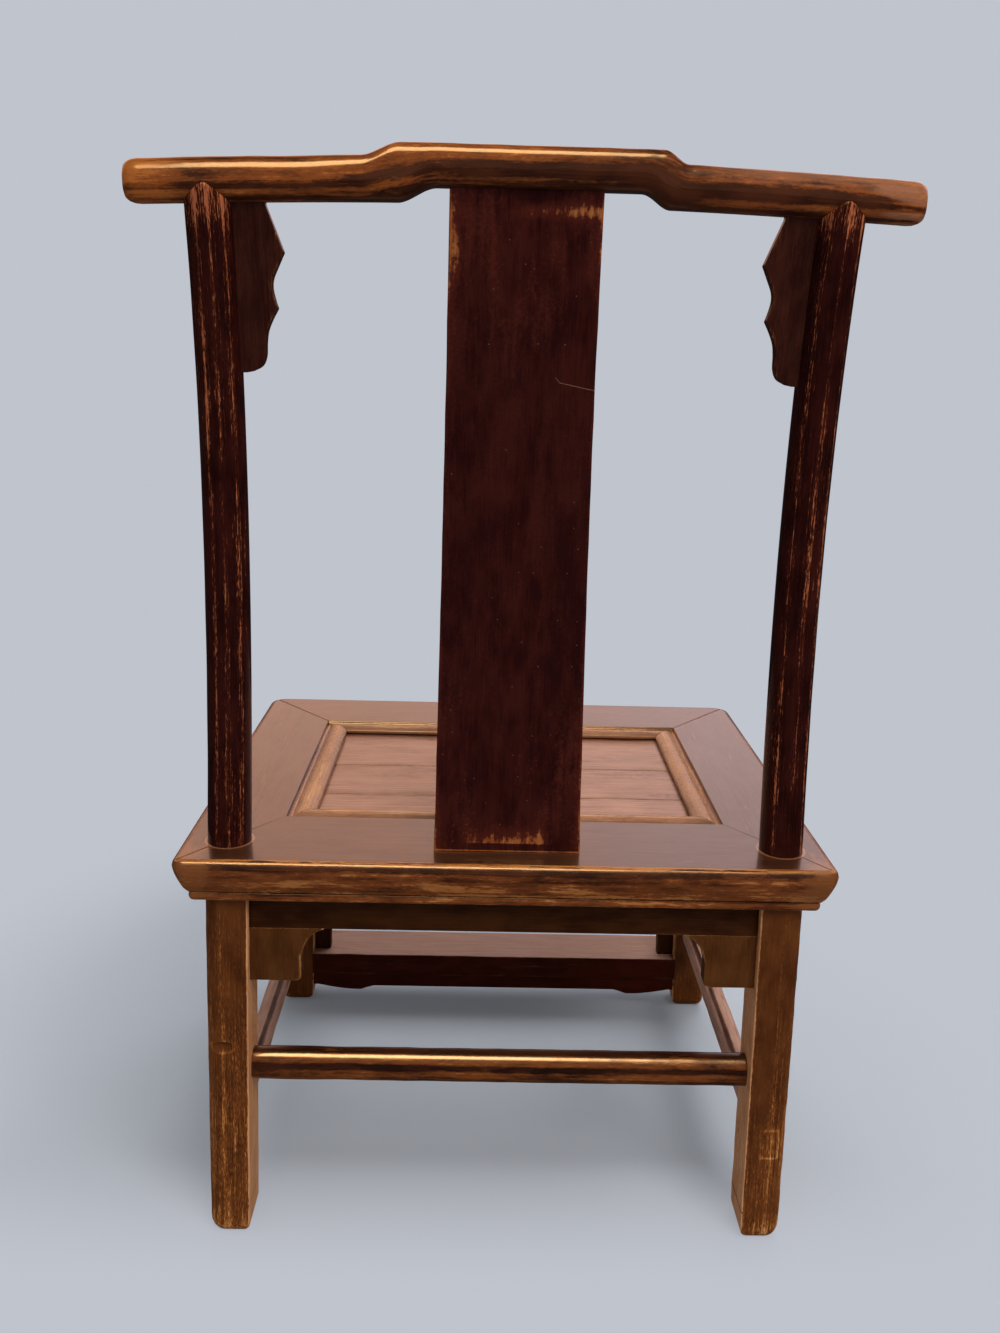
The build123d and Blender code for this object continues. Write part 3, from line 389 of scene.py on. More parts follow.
def lacquer(name, dark, warm, thin, wood, pale, streak, ragged, step, gloss, specular, coat, **look):
    """Lacquer over wood. Colours run from the deepest skin to the palest fibre of bare wood.

    streak is how often streaks repeat along and across the grain in a metre, ragged the shares
    of streaks, lines, flecks and patches in the level of wear, step the level at which wood
    shows and the width of that step, gloss the roughness of the skin and of bare wood.
    """
    finish = Finish(name)
    grain, wear = finish.attribute("grain", 1), finish.attribute("wear", 2)
    along, across = streak
    streaks = finish.swing(grain, along, across, 6.0, 0.68)
    lines = finish.swing(grain, along * 0.2, across * 1.3, 3.0, 0.6)
    flecks = finish.swing(grain, along * 6, across * 2.5, 2.0, 0.6)
    patches = finish.swing(grain, *look.get("patch", (9.0, 28.0)), 4.0, 0.65)
    fibre = finish.swing(grain, 30.0, 1300.0, 2.0, 0.6)
    cloud = finish.swing(grain, 26.0, 60.0, 4.0, 0.6)
    level = wear + streaks * ragged[0] + lines * ragged[1] + flecks * ragged[2] + patches * ragged[3]
    start, width = step
    thinned = level.rise(start - look.get("halo", 0.34), start) * look.get("thinning", 0.8)
    bare = level.rise(start, start + width)
    skin = finish.blend((cloud * 0.6 + fibre * 0.35).rise(-0.55, 0.55), dark, warm)
    figure = look.get("figure", 0.5)
    timber = finish.blend((fibre * 0.5 + streaks * 0.4).rise(-figure, figure), wood, pale)
    colour = finish.blend(bare, finish.blend(thinned, skin, thin), timber)
    if "rubbed" in look:
        polish = level.rise(*POLISHED)
        grained = (fibre * 0.7 + cloud * 0.4 + lines * 0.4).rise(-0.6, 0.6)
        polished = finish.blend(grained, *look["rubbed"])
        chips = (streaks * 0.6 + patches * 0.6).rise(0.42, 0.88) * 0.55
        colour = finish.blend(polish, colour, finish.blend(chips, polished, wood))
        coat = polish * look.get("sheen", 1 - coat) + coat
    if "hairline" in look:
        web = finish.swing(grain, 50.0, 150.0, 4.0, 0.6)
        crack = web.near_zero(22) * patches.rise(-0.1, 0.5) * look["hairline"]
        colour = finish.blend(crack, colour, thin)
    colour = finish.blend(fibre.rise(0.45, 0.8) * look.get("pores", 0.3), colour, dark)
    if "marks" in look:
        colour = look["marks"](finish, grain, colour)
    shiny, dull = gloss
    roughness = bare * (dull - shiny) + shiny + flecks * 0.03 + patches * 0.04
    height = (1 - bare) * 0.6 + fibre * 0.08 + cloud * 0.15 + streaks * 0.06
    relief = finish.relief(height, RELIEF, SKIN)
    return finish.surface(
        Base_Color=colour, Roughness=roughness.largest(LEAST_ROUGHNESS), Normal=relief,
        Specular_IOR_Level=specular, Coat_Weight=coat,
        Coat_Roughness=look.get("coat_gloss", 0.12), Coat_IOR=look.get("coat_ior", 1.5),
    )


# %% Marks of use, and a painted sheen
POST_AT, POST_RING = (0.2227, 0.1771), 0.0188  # foot of a post and the ring round it, metres
SCRATCH_AT, SCRATCH_FALL = (0.024, 0.7205), 0.19  # where it starts, and how steeply it falls


def splat_marks(finish, grain, colour):
    """A fine scratch, a line of height over width with a short hook, and a few pale specks."""
    over = finish.place(0) * -1 - SCRATCH_AT[0]
    height = SCRATCH_AT[1] - over * SCRATCH_FALL + (1 - over * 220).rise(0.0, 1.0) * 0.003
    scratch = (finish.place(2) - height).near_zero(2000) * over.rise(0.0, 0.001)
    cells = {"Vector": grain, "Scale": 55.0}
    spot, tint = [
        finish.node("ShaderNodeTexVoronoi", {"voronoi_dimensions": "2D"}, cells, out=k) for k in (0, 1)
    ]
    specks = (1 - spot * 28).rise(0.0, 1.0)
    specks = specks * finish.node("ShaderNodeSeparateColor", {}, {0: tint}).rise(0.70, 0.75)
    return finish.blend((scratch * 0.7).largest(specks * 0.8), colour, (0.22, 0.105, 0.075))


def crest_marks(finish, grain, colour):
    """Towards one end the upper part is painted paler and pinker: a painted sheen."""
    share = finish.place(0).rise(-0.09, -0.17) * finish.attribute("wear", 2).rise(0.50, 0.62)
    return finish.blend(share * 0.4, colour, (0.36, 0.165, 0.095))


def seat_marks(finish, grain, colour):
    """The polish is broken in a thin ring round each post, and rubbed off at the rear corners."""
    x, y = finish.place(0).size() - POST_AT[0], finish.place(1) - POST_AT[1]
    ring = ((x * x + y * y).root() - POST_RING).near_zero(600)
    ragged = finish.swing(grain, 34.0, 90.0, 4.0, 0.6)
    corner = (x.rise(-0.020, 0.045) * y.rise(-0.030, 0.045) + ragged * 0.30).rise(0.30, 0.62)
    colour = finish.blend(corner * 0.6, colour, (0.27, 0.085, 0.020))
    return finish.blend(ring * 0.85, colour, (0.36, 0.15, 0.065))


# %% Finishes of the pieces
# the crest rail's marks paint a sheen, paler and pinker, on its upper part towards one end
crest_finish = lacquer(
    "crest_lacquer", (0.024, 0.0056, 0.0022), (0.066, 0.0160, 0.0050), (0.230, 0.055, 0.0085),
    (0.33, 0.082, 0.011), (0.43, 0.128, 0.021), streak=(44.0, 300.0), ragged=(0.26, 0.22, 0.12, 0.32),
    step=(0.64, 0.24), halo=0.42, thinning=0.9, figure=0.9, gloss=(0.40, 0.42), specular=0.06,
    coat=0.75, coat_gloss=0.155, pores=0.15, marks=crest_marks,
)
post_finish = lacquer(
    "post_lacquer", (0.012, 0.0021, 0.0019), (0.034, 0.0058, 0.0040), (0.100, 0.020, 0.006),
    (0.34, 0.078, 0.026), (0.46, 0.140, 0.058), streak=(36.0, 720.0), ragged=(0.42, 0.40, 0.40, 0.32),
    step=(0.66, 0.10), gloss=(0.20, 0.42), specular=0.10, coat=0.14, coat_gloss=0.06,
)
# the legs' rubbed colours, pale and pink on the inner faces, are rubbed wood and partly a painted sheen
leg_finish = lacquer(
    "leg_lacquer", (0.066, 0.0165, 0.0034), (0.134, 0.0380, 0.0076), (0.260, 0.076, 0.015),
    (0.41, 0.128, 0.023), (0.56, 0.225, 0.058), streak=(34.0, 480.0), ragged=(0.26, 0.32, 0.42, 0.28),
    step=(0.70, 0.14), halo=0.5, gloss=(0.40, 0.45), specular=0.08, coat=0.0,
    sheen=0.05, rubbed=((0.58, 0.240, 0.100), (0.80, 0.40, 0.20)),
)
splat_finish = lacquer(
    "splat_lacquer", (0.0180, 0.0027, 0.0028), (0.043, 0.0072, 0.0048), (0.074, 0.0120, 0.0068),
    (0.25, 0.052, 0.0080), (0.36, 0.120, 0.036), streak=(60.0, 150.0), ragged=(0.18, 0.16, 0.10, 0.34),
    step=(0.72, 0.26), halo=0.45, gloss=(0.26, 0.40), specular=0.12, coat=0.0, pores=0.15,
    hairline=0.35, marks=splat_marks,
)
apron_finish = lacquer(
    "apron_lacquer", (0.024, 0.0062, 0.0014), (0.056, 0.0160, 0.0038), (0.150, 0.052, 0.012),
    (0.36, 0.15, 0.045), (0.50, 0.26, 0.10), streak=(30.0, 300.0), ragged=(0.25, 0.2, 0.15, 0.2),
    step=(0.72, 0.2), gloss=(0.38, 0.45), specular=0.06, coat=0.0, hairline=0.2,
)
bracket_finish = lacquer(
    "bracket_lacquer", (0.060, 0.0180, 0.0040), (0.110, 0.0360, 0.0082), (0.20, 0.075, 0.020),
    (0.42, 0.19, 0.060), (0.58, 0.31, 0.12), streak=(24.0, 240.0), ragged=(0.25, 0.2, 0.15, 0.2),
    step=(0.72, 0.2), gloss=(0.38, 0.45), specular=0.06, coat=0.0, hairline=0.3,
)
wing_finish = lacquer(
    "wing_lacquer", (0.021, 0.0044, 0.0032), (0.049, 0.0120, 0.0068), (0.110, 0.031, 0.009),
    (0.28, 0.088, 0.024), (0.40, 0.16, 0.055), streak=(26.0, 420.0), ragged=(0.3, 0.3, 0.15, 0.2),
    step=(0.72, 0.2), gloss=(0.26, 0.42), specular=0.1, coat=0.08, hairline=0.2,
)
rod_finish = lacquer(
    "stretcher_lacquer", (0.018, 0.0032, 0.0009), (0.056, 0.0125, 0.0028), (0.225, 0.058, 0.0075),
    (0.38, 0.118, 0.017), (0.50, 0.19, 0.038), streak=(36.0, 260.0), ragged=(0.20, 0.18, 0.10, 0.36),
    step=(0.60, 0.22), halo=0.44, thinning=0.9, figure=0.9, gloss=(0.34, 0.36), specular=0.08,
    coat=1.0, coat_gloss=0.21, coat_ior=1.62, patch=(12.0, 60.0), pores=0.15,
)
# side stretchers: pale pink colours, made brighter against the dim light under the seat, stand for their
# sheen: painted sheen and painted light
side_rod_sheen_finish = lacquer(
    "side_stretcher_lacquer", (0.018, 0.0060, 0.0040), (0.110, 0.0440, 0.0290), (0.30, 0.135, 0.090),
    (0.50, 0.250, 0.175), (0.64, 0.36, 0.26), streak=(40.0, 300.0), ragged=(0.18, 0.2, 0.1, 0.2),
    step=(0.60, 0.30), halo=0.5, gloss=(0.32, 0.40), specular=0.10, coat=0.05,
)
seat_finish = lacquer(
    "seat_frame_wood", (0.024, 0.0050, 0.0015), (0.090, 0.0208, 0.0042), (0.250, 0.061, 0.0100),
    (0.40, 0.116, 0.018), (0.54, 0.200, 0.042), streak=(26.0, 240.0), ragged=(0.15, 0.18, 0.10, 0.48),
    step=(0.68, 0.14), halo=0.5, thinning=0.9, gloss=(0.26, 0.34), specular=0.50, coat=0.25,
    coat_gloss=0.09, pores=0.35, patch=(14.0, 60.0), marks=seat_marks,
    rubbed=((0.028, 0.0072, 0.0026), (0.076, 0.022, 0.0085)),
)
bead_finish = lacquer(
    "bead_wood", (0.21, 0.088, 0.042), (0.34, 0.150, 0.075), (0.42, 0.175, 0.076),
    (0.52, 0.215, 0.070), (0.66, 0.33, 0.14), streak=(30.0, 420.0), ragged=(0.2, 0.24, 0.1, 0.24),
    step=(0.66, 0.25), gloss=(0.28, 0.38), specular=0.2, coat=0.25, coat_gloss=0.15, patch=(14.0, 20.0),
)
board_finish = lacquer(
    "seat_board_wood", (0.19, 0.076, 0.043), (0.355, 0.165, 0.104), (0.40, 0.186, 0.116),
    (0.48, 0.228, 0.144), (0.57, 0.30, 0.195), streak=(22.0, 480.0), ragged=(0.3, 0.3, 0.12, 0.25),
    step=(0.62, 0.3), gloss=(0.30, 0.40), specular=0.3, coat=0.35, coat_gloss=0.15, pores=0.55,
)
tread_finish = lacquer(
    "footrest_lacquer", (0.034, 0.0046, 0.0014), (0.058, 0.0086, 0.0026), (0.14, 0.052, 0.030),
    (0.30, 0.155, 0.112), (0.39, 0.215, 0.165), streak=(20.0, 200.0), ragged=(0.2, 0.15, 0.1, 0.2),
    step=(0.50, 0.2), gloss=(0.34, 0.40), specular=0.06, coat=0.0, pores=0.4, hairline=0.12,
)
print("finishes", len(bpy.data.materials))

# %% [markdown]
# ## Crest rail
# The yoke-shaped top rail rises in the middle by two soft steps and droops towards its round
# ends. It could be carved from a block by booleans, but its section only changes along its
# length, so one stick with changing limits follows the bandsawn and rasped form exactly. The two
# steps were cut by eye: the left one is long and soft, the right one short and steep.

# %% Crest rail levels
CREST_UNDER = SEAT_HEIGHT + BACK_HEIGHT
CREST_HALF, CREST_THICK, CREST_DEPTH, CREST_END_DEPTH = 268.5, 26.6, 29.0, 26.0
CREST_DROPS, CREST_DROOP, CREST_SWEEP = (9.9, 8.5), 5.0, 1.3
CREST_STEPS_AT = {1: ((60.0, 87.0), (84.0, 111.0)), -1: ((77.0, 97.0), (90.0, 107.0))}
CREST_FORWARD, CREST_BOW, CREST_BOW_START, CREST_ROUNDING = 9.4, 6.3, 90.0, 0.42
CREST_END_IN, CREST_END_ALONG = 4.6, 9.0


def crest_share(x, start):
    """How far along the wing a place lies, raised to a power so that it bends away softly."""
    return np.clip((np.abs(x) - start) / (CREST_HALF - start), 0, 1) ** CREST_SWEEP


def crest_level(x, which):
    """Underside (0) or top (1): a level middle, a soft step down, and the droop of the wing."""
    level = CREST_UNDER + which * CREST_THICK
    for sign, places in CREST_STEPS_AT.items():
        wing, (low, high) = np.maximum(sign * x, 0), places[which]
        level = level - CREST_DROPS[which] * smooth(wing, low, high)
        level = level - CREST_DROOP * crest_share(wing, high)
    return level


def crest_forward(x):
    """Forward distance of the rail's middle line: level in the middle, bowed on the wings."""
    return CREST_FORWARD + CREST_BOW * crest_share(x, CREST_BOW_START)


def on_wing(x):
    """0 over the middle of the rail and 1 on its wings, with a soft rise between."""
    return smooth(np.abs(x), 95.0, 150.0)


print("middle of the crest rail from", crest_level(0.0, 0), "to", crest_level(0.0, 1))

# %% Crest rail
CREST_FLATTER = 0.27  # by how much the upper corners of the middle are less round


def crest_wear(along, a, u, edge):
    """Hands thin the top and the ends; dark lacquer stays in a band, lower on the wings."""
    x = along - CREST_HALF
    wing = on_wing(x)
    right = wing * (x < 0)
    edge_of_band = 3.0 - 6.5 * wing + 4.5 * right * smooth(-np.abs(x), -245.0, -200.0)
    top = 0.50 * smooth(u, edge_of_band - 3.0, edge_of_band + 2.0) + 0.10 * smooth(u, 6.0, 11.0)
    ends = 0.30 * smooth(np.abs(x), 222.0, 262.0)
    film = 0.30 * bump(u, -8.5, 2.2) * (1 - wing)
    film = film + (0.44 + 0.10 * (x > 0)) * smooth(-u, 6.0, 8.5) * wing
    band = 0.22 * bump(u, -1.5, 2.6) * right
    return top + ends + film + 0.02 - 0.5 * bump(u, -12.6, 0.9) - band


sweep = CREST_END_ALONG * (1 - np.cos(END_TURNS))
run = CREST_HALF - CREST_END_ALONG
x = np.concatenate([sweep - CREST_HALF, np.linspace(-run, run, 300)[1:-1], (CREST_HALF - sweep)[::-1]])
ending = np.clip((np.abs(x) - run) / CREST_END_ALONG, 0, 1)
draw = CREST_END_IN * (1 - np.sqrt(1 - ending ** 2))
under, top = crest_level(x, 0), crest_level(x, 1)
high = (top - under) / 2 - draw
deep = (CREST_DEPTH + (CREST_END_DEPTH - CREST_DEPTH) * crest_share(x, CREST_BOW_START)) / 2 - draw
corner = CREST_ROUNDING * 2 * np.minimum(high, deep)
upper = corner * (1 - CREST_FLATTER * (1 - on_wing(x)))
line = xyz(x, HALF_DEPTH - crest_forward(x), (top + under) / 2)
uneven = worn_down(x, 3, 0.35)
limits = (-deep, deep - uneven * 0.5, -high, high - uneven)
stick("crest_rail_worn", "crest_rail", line, TO_REAR, UPWARDS, limits,
      [upper, upper, corner, corner], crest_finish, crest_wear, (10, 9))

# %% [markdown]
# ## Rear posts
# A rear post is one piece of wood: a square leg below the seat and a round, curved upright
# above it, whose pointed top laps a little way up the back of the crest rail. The round part
# is a circle carried along the back's curve. Its last points end on a small roof, apex minus
# slope times distance, which gives the pointed shoulder.

# %% Round uprights
POST_FOOT, POST_TOP = 17.4, 16.5
POST_START = SEAT_HEIGHT - 12.0  # the upright begins inside the seat frame
POST_AROUND, POST_ALONG = 72, 230  # points round a ring, and rings
NIB_HEIGHT, NIB_SLOPE, NIB_SOFT = 9.6, 0.72, 2.5
NIB_CLOSING = [(0.95, 0.8), (0.80, 1.1)]  # size and lift of the two rings that close the nib
STREAKS = {1: [(67.0, 7.0, 0.54), (98.0, 8.0, 0.42), (134.0, 8.0, 0.44)],
           -1: [(43.0, 6.0, 0.52), (83.0, 8.0, 0.44), (131.0, 9.0, 0.46)]}  # angle, width, share


def post_radius(z):
    """Radius of the post: an even taper from its foot to its top."""
    return POST_FOOT + (POST_TOP - POST_FOOT) * np.clip((z - SEAT_HEIGHT) / BACK_HEIGHT, 0, 1)


def post_x(z):
    """Middle of the post: its outer side goes on the line of the leg's outer face."""
    return leg_outer(z) - post_radius(z)


NIB_X = post_x(CREST_UNDER)
NIB_APEX = crest_level(NIB_X, 0) + NIB_HEIGHT


def upright(side, sign):
    """Round post: rings of radius r(z) on the back's curve, cut by a soft-peaked roof.

    The roof is the apex minus slope times the root of squared distance and squared softness.
    """
    around = np.linspace(0, 2 * np.pi, POST_AROUND, endpoint=False)[None, :]
    rise = np.linspace(0, 1, POST_ALONG)[:, None]
    reach = np.hypot(post_x(CREST_UNDER) + POST_TOP * np.cos(around) - NIB_X, NIB_SOFT)
    roof = NIB_APEX - NIB_SLOPE * (reach - NIB_SOFT)
    z = POST_START + (roof - POST_START) * rise
    radius = post_radius(z) - 0.4 * (waver(z, 11 + sign, 0.5) + 0.5) * (0.5 + 0.5 * np.cos(3 * around))
    x = post_x(z) + radius * np.cos(around)
    y = HALF_DEPTH - back_line(z - SEAT_HEIGHT) + radius * np.sin(around)
    rim_x, rim_y, rim_z = x[-1:], y[-1:], z[-1:]
    for shrink, lift in NIB_CLOSING:
        x = np.vstack([x, NIB_X + (rim_x - NIB_X) * shrink])
        y = np.vstack([y, rim_y.mean() + (rim_y - rim_y.mean()) * shrink])
        z = np.vstack([z, rim_z + lift])
    around = np.broadcast_to(around, x.shape)
    outward = np.degrees((around + np.pi) % (2 * np.pi) - np.pi)  # 0 out, 90 to the rear
    rubbed = sum(share * bump(outward, angle, width) for angle, width, share in STREAKS[sign])
    front = bump(outward, -90.0, 40.0) * 0.25
    nib = smooth(z, NIB_APEX - 34.0, NIB_APEX - 8.0) * 0.42
    grain = xyz(z, radius.mean() * np.cos(around), radius.mean() * np.sin(around))
    wear = rubbed + front + nib + 0.03
    surface(side + "_upright", side + "_rear_post", xyz(sign * x, y, z), grain, wear, post_finish)


for side, sign in SIDES.items():
    upright(side, sign)

# %% [markdown]
# ## Legs
# The square legs have one large round corner outwards and three small arrises, lean out a
# little and end in softly worn feet. One stick each, with its foot drawn in as a quarter of an
# ellipse.

# %% Square legs
LEG_ROUND, LEG_ARRIS = 14.0, 1.8
FOOT_IN, FOOT_UP = 9.5, 13.0
TENON_X, TENON_Z = (-5.6, 9.4), (84.0, 111.0)  # end of a side stretcher's tenon
DENT_X, DENT_Z, DENT_DEEP = (3.3, 9.0), (183.0, 5.0), 2.4  # middle and half size of a dent


def tenon_line(a, z):
    """Nearness to the outline of the tenon's end: the larger of the distances past its sides."""
    past_x = np.abs(a - sum(TENON_X) / 2) - (TENON_X[1] - TENON_X[0]) / 2
    past_z = np.abs(z - sum(TENON_Z) / 2) - (TENON_Z[1] - TENON_Z[0]) / 2
    return bump(np.maximum(past_x, past_z), 0.0, 1.1)


def dent_reach(a, z):
    """Squared distance from the dent's middle, in its own half sizes: 1 on its rim."""
    return ((a - DENT_X[0]) / DENT_X[1]) ** 2 + ((z - DENT_Z[0]) / DENT_Z[1]) ** 2


def dent(along, a, u):
    """A shallow scoop: depth times the root of one minus the squared distance."""
    return DENT_DEEP * np.sqrt(np.clip(1 - dent_reach(a, along), 0, 1)) * (u > 0)


def leg_wear(sign, front):
    """Arrises wear through and feet are rubbed. Inner faces are rubbed pale, partly a painted sheen.
    The lower leg is painted lighter and its top under the seat darker: painted light and shade.
    The rear faces of the front legs are darker, painted shade; a dent is darker inside, paler at its rim.
    """
    left, rear = sign > 0, 1 - front

    def wear(along, a, u, edge):
        a = a * sign
        # besides the rubbed feet, the top of the leg under the seat is darker: painted shade
        foot = smooth(-along, -34.0, -4.0) * 0.36 - 0.10 * smooth(along, 200.0, 290.0)
        # the lower leg is lighter: painted light
        low = (0.36 if left else 0.10) * smooth(-along, -200.0, -60.0)
        sole, dark_line = smooth(-along, -29.0, -27.0), bump(along, 29.0, 0.9)
        # inner faces pale and pink: rubbed wood, partly a painted sheen
        inner = smooth(-a, 16.2, 17.6) * (1.12 + 0.3 * sole - 1.2 * dark_line)
        outer = smooth(a, 8.0, 15.0) * 0.40
        scuffs = 0.26 * bump(a, 2.5, 3.4) * rear
        pressed = dent_reach(a, along)
        rim = (0.30 * bump(pressed, 1.3, 0.35) - 0.5 * smooth(-pressed, -1.0, -0.4)) * left * rear
        tenon = (0.20 if left else 0.40) * tenon_line(a, along) * (u > 0) * rear
        # the rear faces of the front legs are made darker: painted shade
        painted_shade_rear = 0.55 * smooth(u, 6.0, 15.0) * front
        return 0.20 * edge + foot + low + inner + outer + scuffs + tenon + rim * (u > 0) + 0.10 - painted_shade_rear
    return wear


def square_leg(name, node, sign, depth, middle_forward, outward, scoop=None):
    """Square section at each height; outward is 1 for a rear leg and -1 for a front leg.

    Near the floor the section is drawn in by a quarter of an ellipse, and the whole leg leans
    by an even share of its splay.
    """
    z = np.concatenate([FOOT_UP * (1 - np.cos(np.linspace(0, QUARTER, 9))),
                        np.linspace(FOOT_UP, SEAT_UNDER + 1.0, 280)[1:]])
    inset = FOOT_IN * (1 - np.sqrt(1 - np.clip(1 - z / FOOT_UP, 0, 1) ** 2))
    lean = 1 - z / SEAT_UNDER
    x = sign * (leg_outer(z) - LEG_WIDTH / 2)
    y = HALF_DEPTH - middle_forward + outward * SPLAY_Y * lean
    half_x, half_y = LEG_WIDTH / 2 - inset, depth / 2 - inset
    uneven = worn_down(z, sum(map(ord, name)), 0.5)
    radii = [np.full_like(z, LEG_ARRIS)] * 4
    radii[CORNERS.index((sign, outward))] = LEG_ROUND - inset
    limits = (-half_x + uneven, half_x - uneven, -half_y + uneven, half_y - uneven)
    worn = leg_wear(sign, int(outward < 0))
    stick(name, node, xyz(x, y, z), TO_LEFT, TO_REAR, limits, radii, leg_finish, worn, (18, 7), scoop)


for side, sign in SIDES.items():
    middle = LEG_INSET + REAR_LEG_DEPTH / 2
    pressed = dent if side == "left" else None
    square_leg(side + "_rear_leg", side + "_rear_post", sign, REAR_LEG_DEPTH, middle, 1, pressed)
    middle = SEAT_DEPTH - LEG_INSET - FRONT_LEG_DEPTH / 2
    square_leg(side + "_front_leg_worn", side + "_front_leg", sign, FRONT_LEG_DEPTH, middle, -1)

# %% [markdown]
# ## Splat
# The splat is one wide board, bent to the same curve as the posts and a little narrower at the
# top. It is a flat stick whose line climbs the curve.

# %% Splat
SPLAT_THICK, SPLAT_FOOT, SPLAT_TOP, SPLAT_BEHIND, SPLAT_ARRIS = 12.0, 58.2, 51.8, 9.4, 1.2
SPLAT_START, SPLAT_END = SEAT_HEIGHT - 4.0, CREST_UNDER + 5.0  # hidden in the two rails
SPLAT_FINE = SEAT_HEIGHT + 8.0  # below this the rings lie close, for the worn foot


def splat_wear(along, a, u, edge):
    """Both long arrises are rubbed, a patch above the foot and a band at the top are bare."""
    z = along + SPLAT_START
    foot = smooth(z, 363.0, 364.6) * smooth(-z, -386.0, -362.0)
    foot = foot * smooth(44.0 - np.abs(a - 1.0), 0.0, 26.0)
    joint = 0.9 * bump(z, 357.9, 0.5)
    top = 0.40 * smooth(z, 690.0, 820.0)
    band = 0.42 * bump(z, 834.0, 5.0) * smooth(-a, -14.0, 8.0)
    band = band + 0.10 * smooth(a, 34.0, 50.0) * smooth(z, 640.0, 800.0)
    low = 0.36 * smooth(-z, -560.0, -400.0)
    return 0.46 * edge + (0.62 * foot + joint) * (u > 0) + top + band + low + 0.04


z = np.concatenate([np.linspace(SPLAT_START, SPLAT_FINE, 31)[:-1],
                    np.linspace(SPLAT_FINE, SPLAT_END, 250)])
climb = (z - SEAT_HEIGHT) / BACK_HEIGHT
half = SPLAT_FOOT + (SPLAT_TOP - SPLAT_FOOT) * climb
forward = back_line(z - SEAT_HEIGHT) - SPLAT_BEHIND * (1 - climb)
uneven = worn_down(z, 5, 0.5)
limits = (-half + uneven, half - uneven, -SPLAT_THICK / 2, SPLAT_THICK / 2)
stick("back_splat_worn", "back_splat", xyz(0, HALF_DEPTH - forward, z), TO_LEFT, TO_REAR, limits,
      SPLAT_ARRIS, splat_finish, splat_wear, (44, 4))

# %% [markdown]
# ## Spandrels
# Two thin cusped boards fill the corners under the crest rail. Each follows the back's curve.
# Its inner edge is drawn as a few points, with smooth hollows between the cusps, and read as
# a width for each height.

# %% Spandrels
SPANDREL_THICK, SPANDREL_HEIGHT, SPANDREL_TOE = 8.0, 110.0, 6.0
SPANDREL_RUNS = [
    [(21.5, -4.0), (21.5, 0.0), (32.0, 29.5)],
    [(32.0, 29.5), (27.4, 38.5), (23.6, 46.5), (22.8, 53.0), (24.2, 60.5), (25.8, 66.0)],
    [(25.8, 66.0), (21.4, 73.5), (18.0, 81.0), (16.5, 89.0), (15.6, 98.5), (12.4, 105.2), (5.6, 109.0)],
]
IN_POST, IN_CREST = 8.0, 5.0  # how far the board runs into the post and the crest rail


def cusped_width(below):
    """Distance of the cusped edge from the post at each depth below the crest rail."""
    straight_run, *hollows = SPANDREL_RUNS
    outline = np.vstack([straight_run, *[through(run) for run in hollows], [(0.5, SPANDREL_HEIGHT)]])
    return np.interp(below, outline[:, 1], outline[:, 0])


def down_to_toe(start, height, toe, counts):
    """Depths down a board: even steps, then steps that shorten as a sine over its toe."""
    even, turn = np.linspace(start, height - toe, counts[0]), np.linspace(0, QUARTER, counts[1])
    return np.concatenate([even, height - toe + toe * np.sin(turn)[1:]])


def spandrel_wear(along, a, u, edge):
    """The cusped edge and its arrises are rubbed."""
    return 0.42 * edge + 0.18 * smooth(a, 8.0, 26.0)


for side, sign in SIDES.items():
    below = down_to_toe(-IN_CREST, SPANDREL_HEIGHT, SPANDREL_TOE, (120, 14))
    wing_top = crest_level(NIB_X, 0)
    z = wing_top - below
    line = xyz(sign * (post_x(wing_top) - POST_TOP), HALF_DEPTH - back_line(z - SEAT_HEIGHT), z)
    width = cusped_width(below)
    stick(side + "_spandrel", side + "_top_spandrel", line, (-sign, 0, 0), TO_REAR,
          (-IN_POST, width, -SPANDREL_THICK / 2, SPANDREL_THICK / 2),
          np.minimum(1.0, 0.45 * (width + 1.0)), wing_finish, spandrel_wear, (12, 4))

# %% [markdown]
# ## Seat frame
# Four rails meet in mitres. Outside they carry a moulding: a rounded lip, a long hollow, a fine
# quirk and a bead. Inside, a rebate takes the bead strips. Each rail is its closed section
# swept between two mitres. An outer point of the section follows the rounded outline of the
# seat, an inner point a straight line, and the top is the blend from one to the other.

# %% Rail section
MOULD = [[(15.0, 39.0), (12.6, 38.0), (11.2, 36.0), (10.8, 33.2), (11.2, 31.2)],
         [(12.0, 31.2), (12.0, 30.0)],
         [(10.2, 30.0), (6.6, 24.5), (3.6, 18.5), (1.2, 12.5), (0.0, 7.0)],
         [(0.2, 5.2), (1.0, 2.8), (2.6, 0.9), (5.6, 0.0)]]
FLAT_FROM = 5.6  # inset at which the moulding's lip turns into the flat upper face
CORNER_LEAST = 2.0
TOP_STEPS = 26
RUBBED = 1.9  # wear of the seat's upper face, past bare wood to a polish
GROOVE_DEPTH = 3.2


